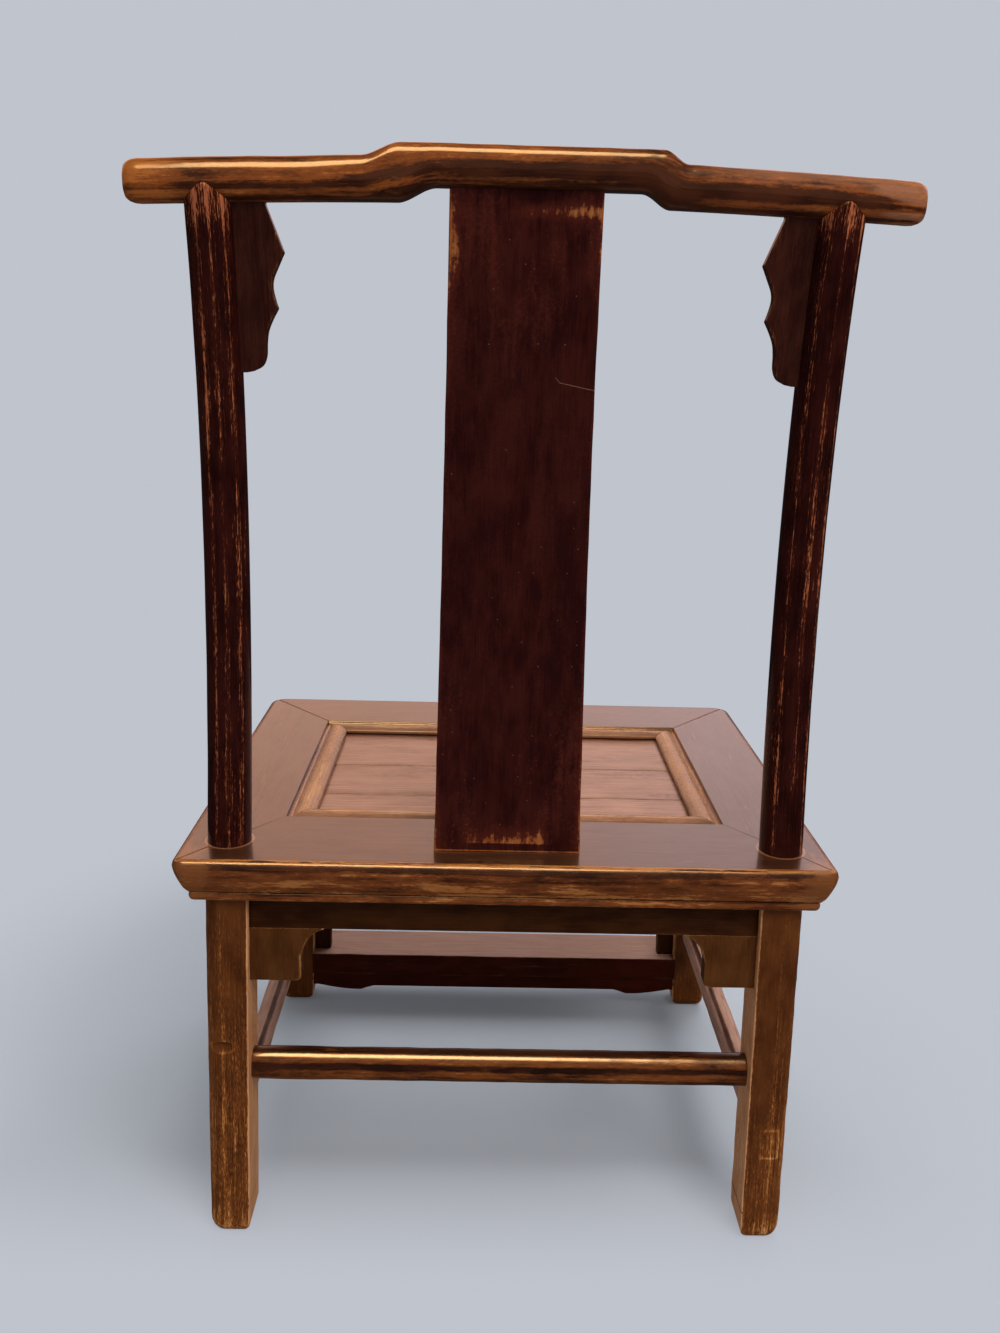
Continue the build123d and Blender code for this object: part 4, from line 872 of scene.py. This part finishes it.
def rail_section(arris):
    """Rows of (inset from the outline, blend towards the opening, offset past it, depth, wear)."""
    outer = np.vstack([through(MOULD[0], 4), MOULD[1], through(MOULD[2] + MOULD[3], 6)])
    inset, depth = outer[:, 0], outer[:, 1]
    worn = arris * bump(depth, 0.7, 1.0) + 0.48 * bump(depth, 9.0, 3.5) + 0.60 * smooth(depth, 9.0, 17.0)
    worn = worn - 0.6 * bump(depth, 31.0, 1.0) + 0.45 * bump(depth, 38.4, 0.8)
    worn = worn + 0.14 * bump(depth, 28.5, 1.2)
    underside = (REBATE_WIDTH, SEAT_THICKNESS, 0.1)
    rows = [(20.5, 1.0, *underside), (15.0, 0.5, *underside)]
    rows += list(zip(inset, inset * 0, inset * 0, depth, worn))
    share = spread(TOP_STEPS + 1)[1:]
    rows += [(FLAT_FROM, s, -0.9, 0.0, RUBBED - (arris - 0.05) * (1 - s) ** 34) for s in share]
    inner_edge = [(-0.3, 0.25, 1.8), (0.0, 0.9, 1.5), (0.05, 1.0, 0.3), (0.4, GROOVE_DEPTH, 0.2),
                  (5.0, GROOVE_DEPTH, 1.6), (REBATE_WIDTH, REBATE_DEPTH, 0.0)]
    rows += [(FLAT_FROM, 1.0, *row) for row in inner_edge]
    return np.array(rows).T


print("points in the rail's section", rail_section(0.0).shape[1])

# %% Seat rails
MITRE_SINK, MITRE_WEAR = 0.5, 1.6  # depth of the fine joint line, and wear it lacks
FACE_WAVE, FACE_WAVE_LENGTH = 0.12, 31.0  # the upper face isn't quite flat


def seat_rail(name, middle, along, inward, half, ends, rounds, width, arris=0.45):
    """Sweep the section from mitre to mitre. ends are the widths of the two neighbours.

    t runs along the rail and n into the seat. Outside they follow the outline with its round
    corners, inside a straight line, and each row of the section blends from one to the other.
    """
    inset, inwards, past, depth, worn = rail_section(arris)
    turn = np.linspace(np.pi / 4, QUARTER, 9)[:, None]
    first, last = [np.maximum(r - inset, CORNER_LEAST)[None, :] for r in rounds]
    reach = (half - inset)[None, :]
    start_t, start_n = -reach + first - first * np.cos(turn), inset + first - first * np.sin(turn)
    end_t, end_n = reach - last + last * np.cos(turn), inset + last - last * np.sin(turn)
    share = np.linspace(0, 1, 240)[1:-1, None]
    run_t = start_t[-1:] + (end_t[-1:] - start_t[-1:]) * share
    outer_t = np.vstack([start_t, run_t, end_t[::-1]])
    outer_n = np.vstack([start_n, np.broadcast_to(inset, run_t.shape), end_n[::-1]])
    part = (outer_t[:, -1:] - outer_t[:1, -1:]) / (outer_t[-1:, -1:] - outer_t[:1, -1:])
    inner_low, inner_high = ends[0] - half + past, half - ends[1] - past
    inner_t = inner_low + (inner_high - inner_low) * part
    t = outer_t * (1 - inwards) + inner_t * inwards
    n = outer_n * (1 - inwards) + (width + past) * inwards
    depth = np.broadcast_to(depth, t.shape).copy()
    depth[[0, -1]] += MITRE_SINK * (depth[[0, -1]] < 1.0)
    rows = np.arange(len(t))
    mitre = bump(rows, 0, 0.6) + bump(rows, len(t) - 1, 0.6)
    wear = np.broadcast_to(worn, t.shape) - MITRE_WEAR * mitre[:, None] * (depth < 1.0)
    face = depth < 0.1
    z = SEAT_HEIGHT - depth + FACE_WAVE * np.sin(t / FACE_WAVE_LENGTH + half) * face - FACE_WAVE * face
    (mx, my), (ax, ay), (ix, iy) = middle, along, inward
    grid = xyz(mx + ax * t + ix * n, my + ay * t + iy * n, z)
    surface(name + "_worn", name, grid, xyz(t, n, -depth), wear, seat_finish)


# the rear rail's arris is rubbed to a bright line of bare wood, which partly paints the highlight it
# catches: a painted highlight
seat_rail("rear_seat_rail", (0, HALF_DEPTH), (1, 0), (0, -1), HALF_WIDTH,
          (SIDE_RAIL, SIDE_RAIL), (REAR_ROUND, REAR_ROUND), REAR_RAIL, arris=1.05)
seat_rail("front_seat_rail", (0, -HALF_DEPTH), (1, 0), (0, 1), HALF_WIDTH,
          (SIDE_RAIL, SIDE_RAIL), (FRONT_ROUND, FRONT_ROUND), FRONT_RAIL)
for side, sign in SIDES.items():
    seat_rail(side + "_seat_rail", (sign * HALF_WIDTH, 0), (0, -1), (-sign, 0), HALF_DEPTH,
              (REAR_RAIL, FRONT_RAIL), (REAR_ROUND, FRONT_ROUND), SIDE_RAIL)

# %% [markdown]
# ## Bead strips and boards
# Four strips with rounded tops lie on the rebate, mitred like a picture frame, and hold down
# three boards that are free to swell. The strips are a small arch swept between mitres; the
# boards are flat sticks with their own slight waviness.

# %% Bead strips
STRIP_GAP, STRIP_OVERHANG, STRIP_EDGE, STRIP_MITRE_SINK = 3.7, 2.2, 3.4, 0.35
STRIP_WIDTH = REBATE_WIDTH - STRIP_GAP + STRIP_OVERHANG
LEDGE = SEAT_HEIGHT - REBATE_DEPTH
OPENING_X, OPENING_REAR, OPENING_FRONT = HALF_WIDTH - SIDE_RAIL, REAR_RAIL, SEAT_DEPTH - FRONT_RAIL


def bead_strip(name, middle, along, inward, low, high):
    """A small arch, one minus the squared width, swept from mitre to mitre.

    low and high are the ends of the opening along this strip, before the gap.
    """
    arch = np.linspace(-1, 1, 15)
    across = np.concatenate([[0.0], (arch + 1) / 2, [1.0], np.linspace(1, 0, 5)[1:-1]]) * STRIP_WIDTH
    crown = STRIP_EDGE + (REBATE_DEPTH - STRIP_EDGE) * (1 - arch ** 2)
    rise = np.concatenate([[0.6], crown, [0.6], [0.0] * 3])
    share = np.concatenate([[0.0, 0.002], np.linspace(0.006, 0.994, 70), [0.998, 1.0]])[:, None]
    start, end = low + STRIP_GAP + across, high - STRIP_GAP - across
    t = start + (end - start) * share
    n = np.broadcast_to(STRIP_GAP + across, t.shape)
    z = np.broadcast_to(LEDGE + rise, t.shape).copy()
    z[[0, -1]] -= STRIP_MITRE_SINK
    wear = 0.28 + 0.42 * bump(np.broadcast_to(across, t.shape), STRIP_WIDTH / 2, 6.0)
    (mx, my), (ax, ay), (ix, iy) = middle, along, inward
    grid = xyz(mx + ax * t + ix * n, my + ay * t + iy * n, z)
    surface(name + "_worn", name, grid, xyz(t, n, z), wear, bead_finish)


bead_strip("rear_bead_strip", (0, HALF_DEPTH - OPENING_REAR), (1, 0), (0, -1), -OPENING_X, OPENING_X)
bead_strip("front_bead_strip", (0, HALF_DEPTH - OPENING_FRONT), (1, 0), (0, 1), -OPENING_X, OPENING_X)
for side, sign in SIDES.items():
    bead_strip(side + "_bead_strip", (sign * OPENING_X, HALF_DEPTH), (0, -1), (-sign, 0),
               OPENING_REAR, OPENING_FRONT)

# %% Seat boards
BOARD_THICK, BOARD_DROP, BOARD_SEAM, BOARD_TONGUE = 11.0, 7.5, 0.9, 1.0
BOARD_JOINTS = (168.0, 245.0)  # forward distances of the two seams
PANEL_X = OPENING_X - REBATE_WIDTH + BOARD_TONGUE
BOARD_NAMES = ["rear_seat_board", "middle_seat_board", "front_seat_board"]
joints = [OPENING_REAR + REBATE_WIDTH - BOARD_TONGUE, *BOARD_JOINTS,
          OPENING_FRONT - REBATE_WIDTH + BOARD_TONGUE]
for name, near, far in zip(BOARD_NAMES, joints, joints[1:]):
    along = np.linspace(-PANEL_X, PANEL_X, 90)
    middle = (near + far) / 2
    half = (far - near - BOARD_SEAM) / 2
    dip = worn_down(along, int(middle), 0.4)
    line = xyz(along, HALF_DEPTH - middle, SEAT_HEIGHT - BOARD_DROP)
    stick(name + "_worn", name, line, TO_REAR, UPWARDS, (-half, half, -BOARD_THICK, -dip), 0.6,
          board_finish, arris_wear(0.46, -0.8), (22, 3))

# %% [markdown]
# ## Aprons and corner brackets
# Thin boards stiffen the frame under the seat. Each corner has a bracket with a straight top
# under the apron and a hollow flare. A bracket is a stick that climbs from its toe to the
# apron, and its free side is read from the outline.

# %% Aprons
APRON_HEIGHT, APRON_THICK, APRON_SETBACK = 30.5, 14.0, 8.0
APRON_UNDER = SEAT_UNDER - APRON_HEIGHT
IN_LEG = 1.0  # boards run this far into the legs, so no light shows at the joint
IN_ABOVE = 0.5  # and this far up into what lies over them


def straight(start, end, count=90):
    """Evenly spaced places on the straight line between two points."""
    return np.linspace(0, 1, count)[:, None] * (np.array(end) - np.array(start)) + np.array(start)


def apron(name, start, end, across):
    """A plain board on edge between two legs."""
    middle = (SEAT_UNDER + APRON_UNDER) / 2
    line = straight((*start, middle), (*end, middle))
    limits = (-APRON_THICK / 2, APRON_THICK / 2, -APRON_HEIGHT / 2, APRON_HEIGHT / 2 + IN_ABOVE)
    stick(name + "_worn", name, line, across, UPWARDS, limits, 1.0, apron_finish,
          arris_wear(0.0, 0.40), (12, 4))


inner = leg_inner(SEAT_UNDER)
rear_row = LEG_INSET + APRON_SETBACK + APRON_THICK / 2
rear_y = HALF_DEPTH - rear_row
side_row = leg_outer(SEAT_UNDER) - APRON_SETBACK - APRON_THICK / 2
apron("rear_apron", (-inner - IN_LEG, rear_y), (inner + IN_LEG, rear_y), TO_REAR)
for side, sign in SIDES.items():
    apron(side + "_apron", (sign * side_row, HALF_DEPTH - REAR_LEG_FRONT + IN_LEG),
          (sign * side_row, HALF_DEPTH - FRONT_LEG_REAR - IN_LEG), TO_LEFT)

# %% Corner brackets
BRACKET_WIDTH, BRACKET_HEIGHT, BRACKET_FLARE, TOE = 40.2, 47.0, 19.5, 5.0
BRACKET_HOLLOW = [(1.0, 0.0), (0.56, 4.2), (0.22, 12.6), (0.0, 25.0)]  # share of the flare, depth
TOE_SOFT = 0.8  # by how much the toe is thinner, and over which height


def bracket_outline(below):
    """Width at each depth: the hollow flare, a straight side, and a quarter-circle toe."""
    hollow = through([(BRACKET_WIDTH + BRACKET_FLARE * share, depth) for share, depth in BRACKET_HOLLOW])
    width = np.interp(below, hollow[:, 1], hollow[:, 0])
    into = np.clip((below - BRACKET_HEIGHT + TOE) / TOE, 0, 1)
    return width - TOE * (1 - np.sqrt(1 - into ** 2))


def bracket_wear(along, a, u, edge):
    """The free outline is rubbed to a thin tan line; the flat sides keep their brown film."""
    top, toe = bump(along, 0.0, 0.9), smooth(along, BRACKET_HEIGHT - 1.2, BRACKET_HEIGHT)
    return 0.66 * edge * (a > 0) + 0.5 * toe + 0.45 * top + 0.06


def bracket(name, anchor, out, across):
    """anchor is where the leg's face meets the apron; out points away from the leg."""
    below = down_to_toe(-0.4, BRACKET_HEIGHT, TOE, (50, 12))
    thin = APRON_THICK / 2 - TOE_SOFT * smooth(below, BRACKET_HEIGHT - TOE_SOFT, BRACKET_HEIGHT)
    stick(name + "_worn", name, xyz(*anchor, APRON_UNDER - below), out, across,
          (-4.0, bracket_outline(below), -thin, thin), 0.9, bracket_finish, bracket_wear, (14, 4))


for side, sign in SIDES.items():
    side_x = sign * side_row
    bracket("rear_" + side + "_bracket", (sign * inner, rear_y), (-sign, 0, 0), TO_REAR)
    bracket(side + "_side_rear_bracket", (side_x, HALF_DEPTH - REAR_LEG_FRONT), (0, -1, 0), TO_LEFT)
    bracket(side + "_side_front_bracket", (side_x, HALF_DEPTH - FRONT_LEG_REAR), (0, 1, 0), TO_LEFT)

# %% [markdown]
# ## Front apron, its upright strips, and the footrest
# The front apron has a shaped lower edge: a lobe beside each upright strip and a soft ogee
# towards the level middle. The footrest is a thick board in front of the legs, with a shaped
# apron under it.

# %% Front apron
FRONT_EDGE = [[(205.0, 46.0), (172.0, 46.0)], [(172.0, 46.0), (160.0, 44.4), (152.0, 38.0)],
              [(152.0, 38.0), (140.0, 40.0), (128.0, 37.4), (118.0, 31.6), (106.0, 30.0)], [(0.0, 30.0)]]
APRON_LOBE = FRONT_EDGE[0][0][1]  # height of the lobes, where the upright strips begin
FRONT_ROW = SEAT_DEPTH - rear_row
FOOTREST_TOP, FOOTREST_THICK, FOOTREST_OVERHANG, FOOTREST_SETBACK = 62.5, 26.0, 5.2, 0.8
FOOTREST_UNDER = FOOTREST_TOP - FOOTREST_THICK


def shaped_edge(runs, x):
    """Height of a shaped edge over the length, from its half drawn as runs of points."""
    first, *curves, last = runs
    outline = np.vstack([first, *[through(run) for run in curves], last])[::-1]
    return np.interp(np.abs(x), outline[:, 0], outline[:, 1])


x = np.linspace(-inner - IN_LEG, inner + IN_LEG, 240)
limits = (-APRON_THICK / 2, APRON_THICK / 2, -shaped_edge(FRONT_EDGE, x), IN_ABOVE)
stick("front_apron_worn", "front_apron", xyz(x, HALF_DEPTH - FRONT_ROW, SEAT_UNDER), TO_REAR, UPWARDS,
      limits, 1.0, apron_finish, arris_wear(0.0, 0.40), (12, 4))

# %% Upright strips
STRIP_BREADTH = 18.0
for side, sign in SIDES.items():
    z = np.linspace(FOOTREST_TOP - 0.5, SEAT_UNDER - APRON_LOBE + 0.5, 80)
    line = xyz(sign * leg_inner(z), HALF_DEPTH - FRONT_ROW, z)
    limits = (-IN_LEG, STRIP_BREADTH, -APRON_THICK / 2, APRON_THICK / 2)
    stick(side + "_front_strip_worn", side + "_front_apron_strip", line, (-sign, 0, 0), TO_REAR, limits,
          1.2, apron_finish, arris_wear(0.0, 0.40), (10, 4))

# %% Footrest
LIP_REAR = SEAT_DEPTH - LEG_INSET + SPLAY_Y
TREAD_REAR = FRONT_LEG_REAR + FOOTREST_SETBACK
LIP_FRONT = SEAT_DEPTH + FOOTREST_OVERHANG
LIP_ENDS = 5.0  # radius of the lip's ends


def tread_wear(along, a, u, edge):
    """Feet have rubbed the upper face; the lower faces keep their lacquer."""
    return 0.85 * smooth(u, -0.6, 0.0) + 0.25 * edge


def eased(length, count, radius):
    """Distances along a piece and how far its section is drawn in there, for rounded ends.

    Over the last stretch the section shrinks as a quarter circle: r minus r sine.
    """
    in_from_end, drawn = radius * (1 - np.cos(END_TURNS)), radius * (1 - np.sin(END_TURNS))
    middle = np.linspace(radius, length - radius, count)[1:-1]
    along = np.concatenate([in_from_end, middle, (length - in_from_end)[::-1]])
    return along, np.concatenate([drawn, np.zeros_like(middle), drawn[::-1]])


tread_x = leg_inner(FOOTREST_UNDER) + IN_LEG
y = HALF_DEPTH - (TREAD_REAR + LIP_REAR) / 2
half = (LIP_REAR - TREAD_REAR) / 2
line = straight((-tread_x, y, FOOTREST_TOP), (tread_x, y, FOOTREST_TOP), 120)
limits = (-half, half - worn_down(line[:, 0], 21, 0.9), -FOOTREST_THICK, 0.0)
stick("footrest_tread", "front_footrest", line, TO_REAR, UPWARDS, limits, [1.4, 0.05, 0.05, 1.4],
      tread_finish, tread_wear, (14, 4))

y = HALF_DEPTH - (LIP_FRONT + LIP_REAR) / 2
half = (LIP_FRONT - LIP_REAR) / 2
lip_x = leg_outer(FOOTREST_UNDER)
along, drawn = eased(2 * lip_x, 100, LIP_ENDS)
limits = (-half + drawn, half, -FOOTREST_THICK, 0.0)
stick("footrest_lip", "front_footrest", xyz(along - lip_x, y, FOOTREST_TOP), TO_REAR, UPWARDS, limits,
      [0.05, 3.0, 3.0, 0.05], tread_finish, tread_wear, (12, 5))

# %% Footrest apron
LOW_EDGE = [[(212.0, 21.0), (206.0, 21.0)], [(206.0, 21.0), (190.0, 18.0), (172.0, 15.6), (157.0, 15.0)],
            [(157.0, 15.0), (147.0, 18.6), (141.0, 20.2)], [(0.0, 20.2)]]
LOW_THICK, LOW_SETBACK = 12.0, 3.0
x = np.linspace(-leg_inner(0.0), leg_inner(0.0), 240)
y = HALF_DEPTH - (TREAD_REAR + LOW_SETBACK + LOW_THICK / 2)
limits = (-LOW_THICK / 2, LOW_THICK / 2, shaped_edge(LOW_EDGE, x) - FOOTREST_UNDER, IN_ABOVE)
stick("footrest_apron_worn", "footrest_apron", xyz(x, y, FOOTREST_UNDER), TO_REAR, UPWARDS, limits, 1.0,
      tread_finish, arris_wear(0.0, 0.15), (10, 4))

# %% [markdown]
# ## Stretchers
# Oval bars tie the legs. The radius of their corners is nearly half their width, so light
# draws one long line along them.

# %% Stretchers
REAR_BAR, REAR_BAR_HEIGHT = (20.0, 28.0), 156.0
SIDE_BAR, SIDE_BAR_HEIGHT = (19.0, 27.0), 97.5
BAR_ROUND = 0.46


def bar_wear_and_painted_light(along, a, u, edge):
    """Between a dark crown and a dark band the lacquer is thin and orange where the highlight falls,
    partly a painted highlight; below it a lighter brown film, partly painted light from the floor.
    """
    # the orange band lies under the mirrored highlight and partly paints its colour; the lighter lower
    # face is partly painted floor light
    return 0.52 * smooth(u, 4.0, 7.0) * smooth(-u, -13.4, -11.8) + 0.36 * smooth(-u, -1.5, 1.5)


def side_bar_painted_sheen(inward):
    """Painted sheen: lighter above and inside, with one dark line between the two, a painted reflection,
    and darker below.
    """
    def wear(along, a, u, edge):
        # the dark line between the top's and the inner side's light strips is a painted dark reflection
        dark_line = bump(a * inward, 5.0, 1.3) * (u > 6.0)
        return 0.90 - 1.9 * dark_line - 0.4 * smooth(-u, 6.0, 9.0)
    return wear


def bar(name, start, end, across, size, seed, finish, wear):
    """An oval bar between two legs: a stick with corners of almost half its width."""
    line = straight(start, end, 150)
    uneven = worn_down(line.sum(axis=1), seed, 0.5)
    wide, tall = size[0] / 2, size[1] / 2
    limits = (-wide + uneven, wide - uneven, -tall + uneven, tall - uneven)
    stick(name + "_worn", name, line, across, UPWARDS, limits, BAR_ROUND * size[0] - uneven,
          finish, wear, (8, 14))


reach = leg_inner(REAR_BAR_HEIGHT) + IN_LEG
y = HALF_DEPTH - LEG_INSET - REAR_LEG_DEPTH / 2
bar("rear_stretcher", (-reach, y, REAR_BAR_HEIGHT), (reach, y, REAR_BAR_HEIGHT), TO_REAR, REAR_BAR, 31,
    rod_finish, bar_wear_and_painted_light)
side_x = leg_outer(SIDE_BAR_HEIGHT) - LEG_WIDTH / 2
for side, sign in SIDES.items():
    bar(side + "_stretcher", (sign * side_x, HALF_DEPTH - REAR_LEG_FRONT + IN_LEG, SIDE_BAR_HEIGHT),
        (sign * side_x, HALF_DEPTH - FRONT_LEG_REAR - IN_LEG, SIDE_BAR_HEIGHT), TO_LEFT, SIDE_BAR,
        40 + sign, side_rod_sheen_finish, side_bar_painted_sheen(-sign))

# %% [markdown]
# ## Bare battens
# The two battens under the seat boards were never lacquered. Their solids are right as they
# are, so they only get a dry wood with its grain along Object Y.

# %% Bare wood
finish = Finish("bare_wood")
place = finish.node("ShaderNodeTexCoord", out=3)
fibre = finish.noise(place, (900.0, 30.0, 900.0), 3.0, 0.6)
patch = finish.noise(place, (60.0, 9.0, 60.0), 3.0, 0.6)
shade = (fibre * 0.6 + patch * 0.4).rise(0.36, 0.66)
colour = finish.blend(shade, (0.16, 0.085, 0.040), (0.34, 0.20, 0.10))
roughness, relief = fibre * 0.2 + 0.55, finish.relief(fibre, 0.4, 0.0005)
bare_wood = finish.surface(Base_Color=colour, Roughness=roughness, Normal=relief)
for side in SIDES:
    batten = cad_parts[side + "_seat_batten"]
    batten.data.materials.clear()
    batten.data.materials.append(bare_wood)
    print(batten.name, "keeps its solid")

# %% [markdown]
# ## Studio
# A plain pale floor runs back to a backdrop of one colour. Near the chair the floor is a real
# matt surface, so it takes the shadow, but everywhere a little of the plain colour glows through
# it: painted light that lifts the shadow. Farther off it turns to the plain colour, and there is
# no horizon. Polished lacquer shows little colour of its own: what the eye meets on it is the
# room that it mirrors. So rays that leave a glossy face find a dim room, with a warm wall in
# front of the chair and a fainter one behind it. The camera stands behind the chair at the eye
# height of a seated person.

# %% Floor and background
BACKGROUND = (0.527, 0.552, 0.610)
FLOOR_COLOUR = (0.48, 0.503, 0.556)
DIM_ROOM = (0.012, 0.008, 0.006)  # what the polish mirrors where there is no wall
floor_mesh = bpy.data.meshes.new("floor")
floor_mesh.from_pydata([(-12, -12, 0), (12, -12, 0), (12, 12, 0), (-12, 12, 0)], [], [(0, 1, 2, 3)])
floor = bpy.data.objects.new("floor", floor_mesh)
bpy.context.scene.collection.objects.link(floor)


def ray_kinds(finish):
    """Three switches: 1 for a ray from the camera, off a glossy face, or through glass."""
    path = finish.tree.nodes.new("ShaderNodeLightPath")
    kinds = ("Is Camera Ray", "Is Glossy Ray", "Is Transmission Ray")
    return [Value(finish, path.outputs[kind]) for kind in kinds]


finish = Finish("studio_floor")
sideways, towards_rear = finish.place(0) - 0.02, finish.place(1)
distance = (sideways * sideways + (towards_rear + 0.12) * (towards_rear + 0.12)).root()
# at least 8% of the plain colour glows on the floor everywhere, which lifts the shadow: painted light
far = distance.rise(0.40, 0.74).largest(towards_rear.rise(0.06, 0.27)).largest(0.08)
camera_ray, glossy_ray, through_ray = ray_kinds(finish)
seen = camera_ray.largest(glossy_ray).largest(through_ray)
glow = finish.node("ShaderNodeEmission", {}, {"Color": BACKGROUND, "Strength": 1.0})
dim = finish.node("ShaderNodeEmission", {}, {"Color": DIM_ROOM, "Strength": 1.0})
finish.surface(Base_Color=FLOOR_COLOUR, Roughness=0.9, Specular_IOR_Level=0.0)
matt = Value(finish, finish.shader.outputs[0])
plain_or_matt = finish.mix_shaders(far * seen, matt, glow)
shown = finish.mix_shaders(glossy_ray * 0.97, plain_or_matt, dim)
finish.tree.links.new(shown.socket, finish.tree.nodes["Material Output"].inputs["Surface"])
floor.data.materials.append(finish.material)
print("floor", floor.dimensions)

# %% World
FILL, FILL_STRENGTH = (0.92, 0.975, 1.0), 0.39  # dim even light on everything
WARM_WALL, COOL_WALL = (1.0, 0.565, 0.415), (1.0, 0.71, 0.68)  # mirrored, before the chair
REAR_WALL = (0.27, 0.155, 0.11)  # mirrored, behind it
MIRRORED_STRENGTH = 1.18


class Sky(Finish):
    """The world's nodes, wired with the same helpers as a finish."""

    def __init__(self, world):
        world.use_nodes = True
        self.tree = world.node_tree

    def light(self, colour, strength):
        return self.node("ShaderNodeBackground", {}, {"Color": colour, "Strength": strength})


world = bpy.data.worlds.new("studio")
bpy.context.scene.world = world
sky = Sky(world)
direction = sky.node("ShaderNodeTexCoord")
sideways, backward, height = [
    sky.node("ShaderNodeSeparateXYZ", {}, {0: direction}, out=axis) for axis in range(3)
]
wall = sky.blend(sideways.rise(-0.22, 0.12), COOL_WALL, WARM_WALL)
in_front = backward.rise(0.05, -0.45) * height.rise(0.8, 0.45) * height.rise(0.10, 0.26)
behind = backward.rise(0.25, 0.70) * height.rise(0.75, 0.40) * height.rise(0.02, 0.12)
room = sky.blend(behind, DIM_ROOM, REAR_WALL)
camera_ray, glossy_ray, through_ray = ray_kinds(sky)
fill, plain = sky.light(FILL, FILL_STRENGTH), sky.light(BACKGROUND, 1.0)
mirrored = sky.light(sky.blend(in_front, room, wall), MIRRORED_STRENGTH)
lit = sky.mix_shaders(glossy_ray, fill, mirrored)
shown = sky.mix_shaders(camera_ray.largest(through_ray), lit, plain)
sky.tree.links.new(shown.socket, sky.tree.nodes["World Output"].inputs["Surface"])
print("world nodes", len(sky.tree.nodes))

# %% Lamps
def lamp(name, place, target, size, power, colour, mirrored):
    """Soft lamp at a place, turned towards a target: it lights, or it is only mirrored."""
    light = bpy.data.lights.new(name, "AREA")
    light.shape, light.size, light.size_y = "RECTANGLE", *size
    light.energy, light.color = power, colour
    holder = bpy.data.objects.new(name, light)
    bpy.context.scene.collection.objects.link(holder)
    aim = Vector(target) - Vector(place)
    holder.matrix_world = Matrix.Translation(place) @ aim.to_track_quat("-Z", "Y").to_matrix().to_4x4()
    holder.visible_glossy, holder.visible_diffuse, holder.visible_camera = mirrored, not mirrored, False


lamp("key", (-0.65, 1.5, 2.1), (0, 0, 0.40), (1.3, 1.1), 33.0, (1.0, 0.98, 0.95), False)
lamp("front", (-0.4, -1.8, 2.3), (0, 0, 0.35), (2.4, 1.6), 48.0, (0.98, 0.99, 1.0), False)
lamp("softbox", (0.40, 1.98, 3.48), (0, 0.2, 0.5), (2.1, 1.85), 300.0, (1.0, 0.60, 0.26), True)

# %% Camera
CAMERA_PLACE = (0.02495, 1.0241, 0.7311)
YAW, PITCH, ROLL = 0.0188, 0.2603, 0.0267  # radians: to the side, down, and about its own axis
FOCAL_PIXELS, FRAME_HEIGHT, SENSOR = 1132.0, 1333.0, 36.0  # the lens in pixels of the frame
camera = bpy.data.objects.new("camera", bpy.data.cameras.new("camera"))
bpy.context.scene.collection.objects.link(camera)
camera.data.sensor_width = SENSOR
camera.data.lens = FOCAL_PIXELS / FRAME_HEIGHT * SENSOR
ahead = np.array([-np.sin(YAW) * np.cos(PITCH), -np.cos(YAW) * np.cos(PITCH), -np.sin(PITCH)])
level = np.array([-np.cos(YAW), np.sin(YAW), 0.0])
upward = np.cross(level, ahead)
right = np.cos(ROLL) * level + np.sin(ROLL) * upward
up = np.cos(ROLL) * upward - np.sin(ROLL) * level
turn = Matrix(np.stack([right, up, -ahead], axis=1).tolist()).to_4x4()
camera.matrix_world = Matrix.Translation(CAMERA_PLACE) @ turn
bpy.context.scene.camera = camera
print("lens", round(camera.data.lens, 2), "mm")
bpy.context.scene.view_settings.view_transform = "Standard"
